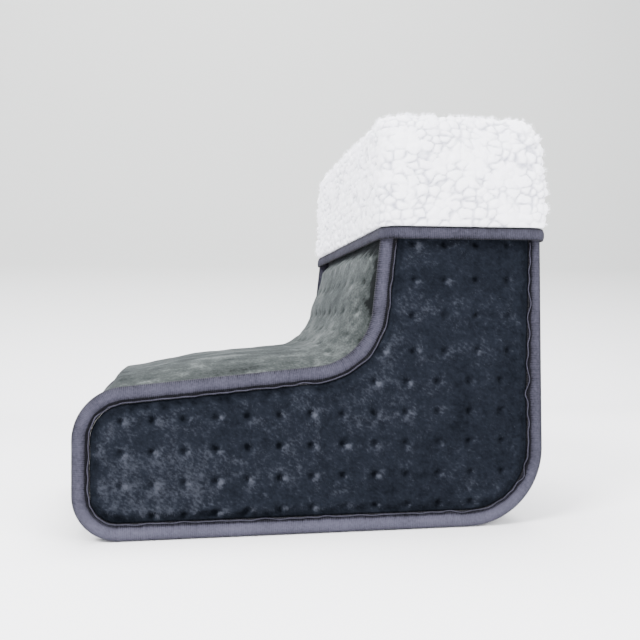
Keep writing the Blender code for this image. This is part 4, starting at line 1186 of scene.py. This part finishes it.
def pad_lie_and_shading():
    """Painted shade in the sewn pits, a painted highlight on turned pile beside each, and painted
    shade along a ragged border.

    Painted light makes the pile paler to the toe, low on the foot and up the front of the shaft.
    """
    flat = pad_shape[0]
    border = edge_distance(flat, pad_loop) + rumple(pad_places, 7.0 * mm, 4.0 * mm)
    # Painted shade in each sewn pit.
    pit_shade = near_points(flat, tufts + np.array([-0.5 * mm, 0.3 * mm]), 2.4 * mm)
    pit_shade = pit_shade * (0.6 + 0.4 * ease((heel_x - 20.0 * mm - pad_x) / (200.0 * mm)))
    pit_shade = pit_shade * (1.0 + rumple(pad_places, 6.0 * mm, 0.9))
    ragged = np.clip(0.70 + rumple(pad_places, 9.0 * mm, 1.0), 0.15, 1.2)
    ragged = ragged * (0.5 + 0.5 * ease((heel_x - 30.0 * mm - pad_x) / (180.0 * mm)))
    # Painted highlight on the turned pile beside each pit.
    fleck_highlight = near_points(flat, tufts + np.array([2.7 * mm, -0.9 * mm]), 2.1 * mm) * ragged
    fleck_highlight = fleck_highlight * np.clip(0.75 + rumple(pad_places, 2.6 * mm, 1.4), 0.2, 1.5)
    # A wider painted highlight round each pit.
    halo_highlight = near_points(flat, tufts + np.array([3.5 * mm, -2.5 * mm]), 6.0 * mm) * ragged
    # Painted shade along the ragged border beside the binding.
    edge = 1.0 - ease((border - 1.5 * mm) / (6.0 * mm))
    edge = edge * (0.3 + 0.7 * ease((toe_x + 250.0 * mm - pad_x) / (150.0 * mm)))
    # Painted light: paler low on the foot, to the toe and up the front of the shaft.
    lower = (ease((150.0 * mm - pad_z) / (120.0 * mm))
             * ease((heel_x - 20.0 * mm - pad_x) / (260.0 * mm)))
    toe = ease((toe_x + 120.0 * mm - pad_x) / (90.0 * mm))
    front = ease((heel_x - 75.0 * mm - pad_x) / (35.0 * mm))
    front = front * ease((pad_z - 80.0 * mm) / (25.0 * mm))
    slow = rumples(pad_places, (55.0 * mm, 0.12), (19.0 * mm, 0.10))
    slow += rumples(pad_places, (7.0 * mm, 0.10), (3.4 * mm, 0.11))
    return (side_lie + 0.065 * lower + 0.08 * toe + 0.08 * front + slow + 0.66 * fleck_highlight
            + 0.12 * halo_highlight - 0.50 * pit_shade - 0.32 * edge)


pad_face = pad_height()
pad_lies_and_shading = pad_lie_and_shading()
pad_back = half_width - 9.7 * mm
for side, hand in sides:
    piece = side_slab(f"side_plush_{hand}", side, pad_loop, pad_shape, pad_face, pad_back,
                      side_plush, "plush")
    mark_lie_and_shading(piece, pad_lies_and_shading)
    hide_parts(f"side_panel_{hand}")

fibre_count = 60000
fibre_length = 1.9 * mm
fibre_width = 0.28 * mm
fibre_sink = 0.25 * mm
fibre_heading = math.radians(-50.0)


def lattice_values(x, z, values):
    """Values of the pad's lattice at any places, from the nearest of its points."""
    cells = np.round(pad_shape[0] / pad_step).astype(int)
    low = cells.min(0) - 1
    table = np.full(cells.max(0) - low + 3, np.nan)
    table[tuple((cells - low).T)] = values
    i = np.round(x / pad_step).astype(int) - low[0]
    j = np.round(z / pad_step).astype(int) - low[1]
    found = table[i, j]
    return np.where(np.isnan(found), table[i + 1, j], found)


def pile_fibres(side, seed):
    """Short flat blades of pile: they lean one way, swirl a little, and stand up by each point."""
    rng = np.random.default_rng(seed)
    low, high = pad_loop.min(0), pad_loop.max(0)
    roots = low + rng.random((fibre_count, 2)) * (high - low)
    roots = roots[inside(roots, pad_loop)]
    roots = roots[edge_distance(roots, pad_loop) > 2.5 * mm]
    y = lattice_values(roots[:, 0], roots[:, 1], pad_face)
    roots, y = roots[~np.isnan(y)], y[~np.isnan(y)]
    lie = lattice_values(roots[:, 0], roots[:, 1], pad_lies_and_shading)
    swirl = np.array([noise.noise(Vector((x, 0.3, z)) * 55.0) for x, z in roots])
    angle = fibre_heading + swirl * 1.6 + rng.normal(0.0, 0.35, len(roots))
    length = fibre_length * (0.6 + 0.6 * rng.random(len(roots)))
    rise = np.clip(0.22 + 0.4 * (lie - 0.4) + 0.15 * rng.random(len(roots)), 0.12, 0.8)
    along = np.stack([np.cos(angle), np.sin(angle)], -1)
    tip = roots + along * (length * np.sqrt(1.0 - rise ** 2))[:, None]
    aside = np.stack([-along[:, 1], along[:, 0]], -1) * (fibre_width / 2)
    verts = np.empty((len(roots), 3, 3))
    for k, (place, height) in enumerate(((roots - aside, y - fibre_sink),
                                         (roots + aside, y - fibre_sink),
                                         (tip, y + length * rise))):
        verts[:, k, 0], verts[:, k, 2] = place.T
        verts[:, k, 1] = side * height
    faces = np.arange(len(roots) * 3).reshape(-1, 3).tolist()
    # The blades take the pad's tone with its painted shade and painted highlights, and some random
    # change.
    return verts.reshape(-1, 3), faces, np.repeat(lie + rng.normal(0.04, 0.10, len(lie)), 3)


for (side, hand), seed in zip(sides, (5, 6)):
    verts, faces, lies = pile_fibres(side, seed)
    piece = make_piece(f"side_pile_{hand}", verts, faces, side_plush, "plush", smooth=False)
    mark_lie_and_shading(piece, lies)


# ---- Edge binding
# A ribbed grey-violet tape is folded over each seam and sewn down, with the groove inside the fold
# in painted shade, and a thin woven edge beside the pad. It ends under the cuff's hem.

rib_pitch = 1.3 * mm
rib_depth = 0.15 * mm
rib_samples = 6
fold_half_width = 4.8 * mm
fold_half_height = 3.8 * mm
fold_points = 19
fold_turn = math.pi - 0.36
# Tone of the painted shade in the groove inside the fold.
groove_shade = -0.3
groove_half = 1.4 * mm


def tape_group():
    """Woven tape: a tight grain of yarn, a mottled tone and a slow change of it."""
    group, given, out = new_group("woven tape", [("Yarn", 1500.0)], ["Tone", "Height"])
    place = add(group, "ShaderNodeTexCoord").outputs["Object"]
    yarn = add(group, "ShaderNodeTexVoronoi",
               [("Vector", place), ("Scale", given.outputs["Yarn"])])
    fine = maths(group, "SUBTRACT", noise_of(group, place, 560.0, 4.0, 0.75), 0.25)
    slow = maths(group, "MULTIPLY", noise_of(group, place, 60.0), 0.5)
    group.links.new(maths(group, "ADD", slow, fine), out.inputs["Tone"])
    group.links.new(yarn.outputs["Distance"], out.inputs["Height"])
    return group


woven_tape = tape_group()


def tape_material(name, dark, light):
    material, tree, shader = new_material(name, 0.85, Sheen_Weight=0.03, Sheen_Roughness=0.5,
                                          Specular_IOR_Level=0.06)
    weave = add(tree, "ShaderNodeGroup", node_tree=woven_tape)
    # The rib value holds the ribs' tone with painted highlights and painted shade of the folds.
    rib_shading = add(tree, "ShaderNodeAttribute", attribute_name="rib_shading")
    tone = weighed(tree, rib_shading.outputs["Fac"], 0.5, weave.outputs["Tone"], 0.9)
    colour_between(tree, shader, ramp(tree, tone, 0.2, 1.2), dark, light)
    raise_by(tree, shader, weave.outputs["Height"], 0.18 * mm, 0.8)
    return material


ribbed_tape = tape_material("ribbed tape", (0.0035, 0.0035, 0.0055), (0.056, 0.0545, 0.077))


def loop_faces(count, size, closed):
    """Quads that join section loops of one size in turn, as a ring or capped at both ends."""
    index = np.arange(count * size).reshape(count, size)
    following = np.roll(index, -1, axis=0) if closed else index[1:]
    here = index if closed else index[:-1]
    faces = np.stack([here, np.roll(here, -1, axis=1), np.roll(following, -1, axis=1), following],
                     -1).reshape(-1, 4).tolist()
    if not closed:
        faces += [index[0].tolist(), index[-1].tolist()]
    return faces


def tape_strip(name, loops, closed, ribs):
    """A tape from its section loops, with the tone of its ribs, its painted light and its painted
    shade kept for its colour.
    """
    piece = make_piece(name, loops.reshape(-1, 3), loop_faces(*loops.shape[:2], closed),
                       ribbed_tape, "tape")
    keep_values(piece, "rib_shading", ribs.ravel())
    return piece


def noise_along(along, scale, row):
    """Smooth random values from about -1 to 1 along a run, other ones for each row."""
    return np.array([noise.noise(Vector((s * scale, row, 0.0))) for s in along])


def wander(along, side):
    """How far the sewn edge of the tape strays along its run, most of all up the heel."""
    stray = 0.7 * mm + 0.5 * mm * ease((along - starts["heel_bend"]) / (60.0 * mm))
    return noise_along(along, 90.0, side * 3.0) * stray


def binding_loops(side):
    """Rounded sections of the folded tape, ribbed across its run, with painted shade in the inner
    groove.

    Painted light makes it paler underneath, as if lit from the floor, and a little paler on top;
    painted shade makes it darker up the heel.
    """
    first, last = front_mark(binding_top), back_mark(binding_top)
    along = np.linspace(first, last, round((last - first) / rib_pitch * rib_samples))
    place, normal = walk(along)
    reach = binding_reach(along)
    narrow = reach / binding_width
    ribs = 0.5 + 0.5 * np.cos(math.tau * along / rib_pitch)
    uneven = 1.0 + noise_along(along, 420.0, side * 5.0)
    # Painted light and shade by the way the tape faces: paler facing down and up, darker facing the
    # heel.
    facing_light_and_shade = 0.73 * ease(-normal[:, 1]) + 0.10 * ease(normal[:, 1]) - 0.18 * ease(normal[:, 0])
    loops, heights = [], []

    def lay(depth, off, tone):
        flat = place - normal * (binding_lift + depth)[:, None]
        y = binding_middle + off * np.ones(len(along))
        loops.append(np.stack([flat[:, 0], side * y, flat[:, 1]], -1))
        heights.append(tone)

    wave = wander(along, side)
    for turn in np.linspace(-1.0, 1.0, fold_points) * fold_turn:
        inner = 0.5 - 0.5 * math.cos(turn)
        depth = 2 * fold_half_width * narrow * inner + wave * inner ** 2
        depth = depth - ribs * rib_depth * 1.6 * (1.0 - inner)
        crown = abs(math.sin(turn))
        high = math.copysign(crown ** 0.9, turn) * fold_half_height
        # Painted highlight on the crown of the fold; painted shade in the rib valleys, toward its
        # edges and in its innermost turn.
        tone = 0.24 + 0.44 * crown ** 2 - (1.0 - ribs) * uneven * (0.24 + 0.95 * (1.0 - crown))
        lay(depth, high + math.copysign(1.0, turn) * ribs * rib_depth * crown,
            tone + facing_light_and_shade - 0.8 * ease((inner - 0.92) / 0.06))
    # Painted shade: the groove inside the fold is coloured dark.
    groove = np.full(len(along), groove_shade)
    lining = np.full(len(along), 1.9 * mm)
    for depth, off in ((reach, groove_half), (lining, groove_half), (lining, -groove_half),
                       (reach, -groove_half)):
        lay(depth, off, groove)
    return np.stack(loops, 1), np.stack(heights, 1)


cord_radius = 0.42 * mm
cord_sides = 6
cord_step = 1.6 * mm
cord_tone = 0.42


def selvedge(side):
    """The tape's thick woven edge, a thin cord that wanders beside the pad."""
    first, last = front_mark(hem_z), back_mark(hem_z)
    along = np.linspace(first, last, round((last - first) / cord_step))
    place, normal = walk(along)
    wave = wander(along, side)
    reach = binding_lift + binding_reach(along) + wave * 2.4 - 0.8 * mm
    loops = []
    for k in range(cord_sides):
        angle = math.tau * k / cord_sides
        flat = place - normal * (reach + cord_radius * math.cos(angle))[:, None]
        y = np.full(len(along), binding_middle + 2.2 * mm + cord_radius * math.sin(angle))
        loops.append(np.stack([flat[:, 0], side * y, flat[:, 1]], -1))
    return np.stack(loops, 1)


for side, hand in sides:
    loops, heights = binding_loops(side)
    piece = tape_strip(f"edge_binding_{hand}", loops, False, heights)
    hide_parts(f"binding_{hand}")
    loops = selvedge(side)
    tape_strip(f"binding_selvedge_{hand}", loops, False, np.full(loops.shape[:2], cord_tone))


# ---- Cuff
# The white sherpa collar goes up outside the shaft, rolls over the rim and down inside to meet
# the lining. It is stuffed softly, so its outside bellies over the hem.

# Each row, in millimetres: how far it stands off the front, the back and the sides of the shaft,
# its height and its corner radius.
cuff_profile = [
    (1.6, 2.6, 6.8, 217.7, 13.0), (3.4, 3.3, 8.9, 226.0, 13.0), (5.1, 4.0, 9.0, 245.5, 13.5),
    (6.4, 3.2, 7.8, 264.0, 14.0), (7.6, 1.2, 6.0, 279.0, 14.5), (8.3, -1.6, 3.8, 288.0, 14.5),
    (7.0, -5.0, 0.8, 294.6, 13.0), (1.5, -9.0, -4.4, 298.3, 10.5), (-8.0, -12.6, -10.4, 299.0, 8.5),
    (-16.4, -16.8, -16.2, 297.0, 7.5), (-20.8, -19.6, -20.0, 291.0, 7.0),
    (-21.7, -20.4, -20.9, 286.0, 7.0), (-21.7, -20.4, -20.9, 280.4, 7.0)]
cuff_hidden = [(-16.7, -15.4, -15.9, 280.4, 7.0), (-16.7, -15.4, -15.9, 291.0, 7.0),
               (-3.6, -2.6, 0.4, 291.0, 7.0), (-3.6, -2.6, 0.4, 229.0, 7.0),
               (-3.6, -2.6, 1.6, 217.7, 3.0)]
cuff_step = 1.05 * mm
cuff_corner_steps = 20
cuff_side = 94.0 * mm
cuff_end = 258.0 * mm
cuff_curl_lift = 3.2 * mm
cuff_curl_sink = 1.3 * mm


def front_line(z):
    """Where the front of the shaft lies at a height."""
    return instep_x + shaft_lean * (z - instep_z) / (rim_height - instep_z)


def rounded_ring(front, back, side, z, radius, corner_steps, side_steps, end_steps):
    """Points round the shaft, the same count for any size."""
    x0, x1 = front_line(z) - front, heel_x + back
    y1 = half_width + side
    points = []
    for quarter, arc in enumerate(corner_arcs(x0, x1, -y1, y1, radius, corner_steps)):
        if points:
            points += straight(points[-1], arc[0], (end_steps, side_steps)[quarter % 2])
        points += arc
    points += straight(points[-1], points[0], end_steps)
    return np.array([(x, y, z) for x, y in points])


def smooth_rows(keys, step):
    """Rows interpolated smoothly through the key rows, about one step apart."""
    keys = np.array(keys, float) * mm
    rows = []
    for k in range(len(keys) - 1):
        before, a = keys[max(k - 1, 0)], keys[k]
        b, after = keys[k + 1], keys[min(k + 2, len(keys) - 1)]
        count = max(1, round(np.hypot(*(b - a)[[0, 3]]) / step))
        for j in range(count):
            t = j / count
            square = 2 * before - 5 * a + 4 * b - after
            cube = 3 * a - before - 3 * b + after
            rows.append(0.5 * (2 * a + (b - before) * t + square * t * t + cube * t ** 3))
    rows.append(keys[-1])
    return rows


def cuff_mesh():
    """The cuff's rings of points with their curls, the curls' heights and the way they stand."""
    shown = smooth_rows(cuff_profile, cuff_step)
    hidden = [tuple(v * mm for v in row) for row in cuff_hidden]
    steps = (cuff_corner_steps, round(cuff_side / cuff_step), round(cuff_end / cuff_step))
    grid = np.array([rounded_ring(*row, *steps) for row in shown])
    down = np.gradient(grid, axis=0)
    round_it = np.roll(grid, -1, axis=1) - np.roll(grid, 1, axis=1)
    normal = np.cross(round_it, down)
    normal /= np.linalg.norm(normal, axis=2, keepdims=True)
    if normal[10, 0, 0] < 0:
        normal = -normal
    rows_shown = len(shown)
    fade = ease((np.arange(rows_shown) + 1.0) / 4.0)[:, None]
    stretch = np.linalg.norm(np.roll(grid, -1, axis=1) - grid, axis=2)
    ring_length = stretch[rows_shown // 3].sum()
    round_way = np.cumsum(stretch[rows_shown // 3])[None, :] + np.zeros((rows_shown, 1))
    down_way = np.cumsum(np.linalg.norm(down, axis=2).mean(1))[:, None] + np.zeros_like(round_way)
    high = curls(round_way, down_way, ring_length)
    sag = rumples(grid, (34.0 * mm, 1.5 * mm), (13.0 * mm, 1.0 * mm), (5.0 * mm, 0.5 * mm))
    grid = grid + normal * ((high * cuff_curl_lift - cuff_curl_sink + sag) * fade)[..., None]
    lower = np.array([rounded_ring(*row, *steps) for row in hidden])
    loops = np.concatenate([grid, lower])
    heights = np.concatenate([high, np.ones(lower.shape[:2])])
    return loops, heights, normal


loops, heights, cuff_normals = cuff_mesh()
sherpa_cuff = make_piece("sherpa_cuff", loops.reshape(-1, 3), loop_faces(*loops.shape[:2], True),
                         white_sherpa, "sherpa")
keep_values(sherpa_cuff, "curl", heights.ravel())
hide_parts("cuff")

tuft_count = 7500
tuft_tries = 8 * tuft_count
tuft_low = 0.72
tuft_fibres = 5
rim_tufts_z = 284.0 * mm
lower_share = 0.4
fluff_length = 3.0 * mm
fluff_width = 0.15 * mm
fluff_curl = 0.9


def cuff_fluff_fibres(seed=21):
    """Pinched tufts of bent fibre on the tops of the curls, thickest round the rim."""
    rng = np.random.default_rng(seed)
    shown = cuff_normals.shape[0]
    row = rng.integers(4, shown - 6, tuft_tries)
    column = rng.integers(0, loops.shape[1], tuft_tries)
    chosen = (loops[row, column, 2] > rim_tufts_z) | (rng.random(len(row)) < lower_share)
    tops = np.where((heights[row, column] > tuft_low) & chosen)[0][:tuft_count]
    row, column = row[tops], column[tops]
    centre, out = loops[row, column], cuff_normals[row, column]
    lean = out + rng.normal(0.0, 0.7, out.shape)
    length = (fluff_length * (0.4 + 0.7 * rng.random(len(tops))))[:, None]
    point = centre + lean / np.linalg.norm(lean, axis=1, keepdims=True) * length
    centre, out, point = (np.repeat(a, tuft_fibres, axis=0) for a in (centre, out, point))
    root = centre - out * 0.3 * mm + rng.normal(0.0, 0.9 * mm, centre.shape)
    middle = (root + point) / 2 + rng.normal(0.0, 0.5 * mm, root.shape)
    tip = point + rng.normal(0.0, 0.5 * mm, root.shape)
    aside = np.cross(middle - root, tip - middle)
    aside /= np.maximum(np.linalg.norm(aside, axis=1, keepdims=True), 1e-9)
    aside *= fluff_width / 2
    verts = np.stack([root - aside, root + aside, middle + aside * 0.8, middle - aside * 0.8, tip],
                     1)
    faces = []
    for k in range(len(tip)):
        first = 5 * k
        faces += [(first, first + 1, first + 2, first + 3), (first + 3, first + 2, first + 4)]
    return verts.reshape(-1, 3), faces


fluff = make_piece("cuff_fluff", *cuff_fluff_fibres(), white_sherpa, "sherpa", smooth=False)
keep_values(fluff, "curl", np.full(len(fluff.data.vertices), fluff_curl))


# ---- Hem tape of the cuff
# The same ribbed tape is folded round the cuff's lower edge and sewn through it, with its fold
# downwards.

# Each row of the section, in millimetres: how far in it lies and its height. Its shade, below, is
# how much darker than the ribs it is: painted shade along the top edge under the cuff and round the
# lower fold, lighter across the middle.
hem_profile = [(1.0, 208.3), (0.3, 208.5), (0.0, 209.2), (-0.45, 211.4), (-0.45, 214.2),
               (0.0, 216.1), (0.35, 216.7), (1.1, 217.4), (1.5, 216.4), (1.5, 209.0)]
hem_shade = (0.9, 0.7, 0.3, -0.1, -0.1, 0.3, 1.8, 2.0, 2.0, 2.0)
shown_rows = 7
hem_corner_ribs = 16


def hem_loops():
    """The tape's section laid round the cuff, ribbed where it shows."""
    steps = (hem_corner_ribs * rib_samples, round(cuff_side / rib_pitch) * rib_samples,
             round(cuff_end / rib_pitch) * rib_samples)
    loops, heights = [], []
    for row, (depth, z) in enumerate(hem_profile):
        inward = max(depth, 0.0)
        radius = (13.0 - inward) * mm
        ring = rounded_ring((1.6 - depth) * mm, (2.6 - depth) * mm, (6.8 - depth) * mm, z * mm,
                            radius, *steps)
        ribs = 0.5 + 0.5 * np.cos(math.tau * np.arange(len(ring)) / rib_samples)
        if row < shown_rows:
            around = np.roll(ring, -1, axis=0) - np.roll(ring, 1, axis=0)
            out = np.stack([around[:, 1], -around[:, 0], np.zeros(len(ring))], -1)
            out /= np.linalg.norm(out, axis=1, keepdims=True)
            ring = ring + out * (ribs * rib_depth)[:, None]
        else:
            ribs = np.zeros(len(ring))
        loops.append(ring)
        # Painted shade darkens the top edge under the cuff and the lower fold.
        heights.append(0.05 + 0.45 * ribs - hem_shade[row])
    return np.stack(loops, 1), np.stack(heights, 1)


loops, heights = hem_loops()
hem_tape = tape_strip("hem_tape", loops, True, heights)
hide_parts("cuff_hem_tape")


# ---- Zip
# A moulded zip on woven tapes closes a slot in the back, where the heating pad comes out. Its
# stops, slider and pull are plated.

tape_start = 2.9 * mm


def zip_chain_material():
    """Slate woven tape with moulded teeth along its edge."""
    material, tree, shader = new_material("zip tape and teeth", 0.8, Specular_IOR_Level=0.2)
    place = add(tree, "ShaderNodeTexCoord").outputs["Object"]
    height = add(tree, "ShaderNodeSeparateXYZ", [("Vector", place)]).outputs["Z"]
    away = maths(tree, "ABSOLUTE", maths(tree, "SUBTRACT", height, zip_z), 0.0)
    woven = ramp(tree, away, tape_start - 0.1 * mm, tape_start + 0.1 * mm)
    weave = add(tree, "ShaderNodeGroup", node_tree=woven_tape, Yarn=2200.0)
    tint = maths(tree, "MULTIPLY", woven, maths(tree, "ADD", weave.outputs["Tone"], 0.2))
    colour_between(tree, shader, tint, (0.012, 0.012, 0.014), (0.035, 0.040, 0.052))
    tree.links.new(ramp(tree, woven, 0.0, 1.0, 0.42, 0.9), shader.inputs["Roughness"])
    raise_by(tree, shader, maths(tree, "MULTIPLY", woven, weave.outputs["Height"]), 0.15 * mm, 0.8)
    return material


zip_chain = zip_chain_material()
for node in ("zip_chain_upper", "zip_chain_lower"):
    finish_node(node, zip_chain)
for node in ("zip_bottom_stop", "zip_top_stop_upper", "zip_top_stop_lower"):
    finish_node(node, nickel, 0.25 * mm)
finish_node("zip_slider", nickel, 0.25 * mm)
finish_node("zip_pull", nickel, 0.3 * mm)


# ---- Inlet
# A moulded socket with three plated pins takes the detachable lead. It is clamped through the
# back from inside.

finish_node("inlet_housing", black_moulding, 0.3 * mm)
finish_node("inlet_clamp", black_moulding, 0.3 * mm)
for k in (1, 2, 3):
    finish_node(f"inlet_pin_{k}", nickel)


# ---- Floor, backdrop, lights and camera
# A white table curves up into a pale grey backdrop, under soft studio light from above and from
# both sides. The camera stands level with the boot, a little toward its toe.

backdrop_front = -2.5
backdrop_depth = 0.9
backdrop_curve = 0.35
backdrop_half = 4.0
backdrop_top = 3.0
backdrop_steps = 16
backdrop_drop = 0.2 * mm


def backdrop():
    profile = [(backdrop_front, 0.0), (backdrop_depth, 0.0)]
    for k in range(1, backdrop_steps + 1):
        angle = math.pi / 2 * k / backdrop_steps
        profile.append((backdrop_depth + backdrop_curve * math.sin(angle),
                        backdrop_curve * (1.0 - math.cos(angle))))
    profile.append((backdrop_depth + backdrop_curve, backdrop_top))
    bm = bmesh.new()
    rows = [[bm.verts.new((x, y, z - backdrop_drop)) for x in (-backdrop_half, backdrop_half)]
            for y, z in profile]
    for a, b in zip(rows, rows[1:]):
        bm.faces.new((a[0], a[1], b[1], b[0]))
    mesh = mesh_of("backdrop", bm)
    mesh.shade_smooth()
    material, tree, shader = new_material("pale backdrop", 0.85)
    height = add(tree, "ShaderNodeSeparateXYZ",
                 [("Vector", add(tree, "ShaderNodeTexCoord").outputs["Object"])])
    colour_between(tree, shader, ramp(tree, height.outputs["Z"], 0.0, 0.3), (0.93, 0.925, 0.945),
                   (0.40, 0.404, 0.394))
    mesh.materials.append(material)
    made = placed("backdrop", mesh)
    made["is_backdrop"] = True


backdrop()

world = bpy.data.worlds.new("studio")
bpy.context.scene.world = world
world.use_nodes = True
world.node_tree.nodes["Background"].inputs["Color"].default_value = (0.93, 0.95, 1.0, 1.0)
world.node_tree.nodes["Background"].inputs["Strength"].default_value = 1.5


def soft_light(name, place, target, size, power):
    light = bpy.data.lights.new(name, "AREA")
    light.shape = "SQUARE"
    light.size = size
    light.energy = power
    lamp = placed(name, light)
    lamp.location = place
    lamp.rotation_euler = (Vector(target) - Vector(place)).to_track_quat("-Z", "Y").to_euler()


soft_light("overhead", (0.1, 0.3, 1.8), (0.0, 0.0, 0.1), size=1.4, power=85.0)
soft_light("left_front", (-1.2, -1.3, 1.5), (0.0, 0.0, 0.12), size=0.7, power=110.0)
soft_light("right_front", (0.9, -1.6, 0.9), (0.05, 0.0, 0.2), size=1.0, power=50.0)

camera_place = (-0.1100, -0.7567, 0.1375)
camera_lens = 50.6
sensor_width = 36.0
yaw, pitch, roll = math.radians(9.98), math.radians(-1.17), math.radians(-0.33)
forward = Vector((math.sin(yaw) * math.cos(pitch), math.cos(yaw) * math.cos(pitch),
                  -math.sin(pitch)))
right = Vector((math.cos(yaw), -math.sin(yaw), 0.0))
up = right.cross(forward)
rolled_right = right * math.cos(roll) + up * math.sin(roll)
rolled_up = up * math.cos(roll) - right * math.sin(roll)
camera_data = bpy.data.cameras.new("camera")
camera_data.lens = camera_lens
camera_data.sensor_width = sensor_width
camera = placed("camera", camera_data)
turn = Matrix((rolled_right, rolled_up, -forward)).transposed().to_4x4()
camera.matrix_world = Matrix.Translation(camera_place) @ turn
bpy.context.scene.camera = camera

low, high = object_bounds()
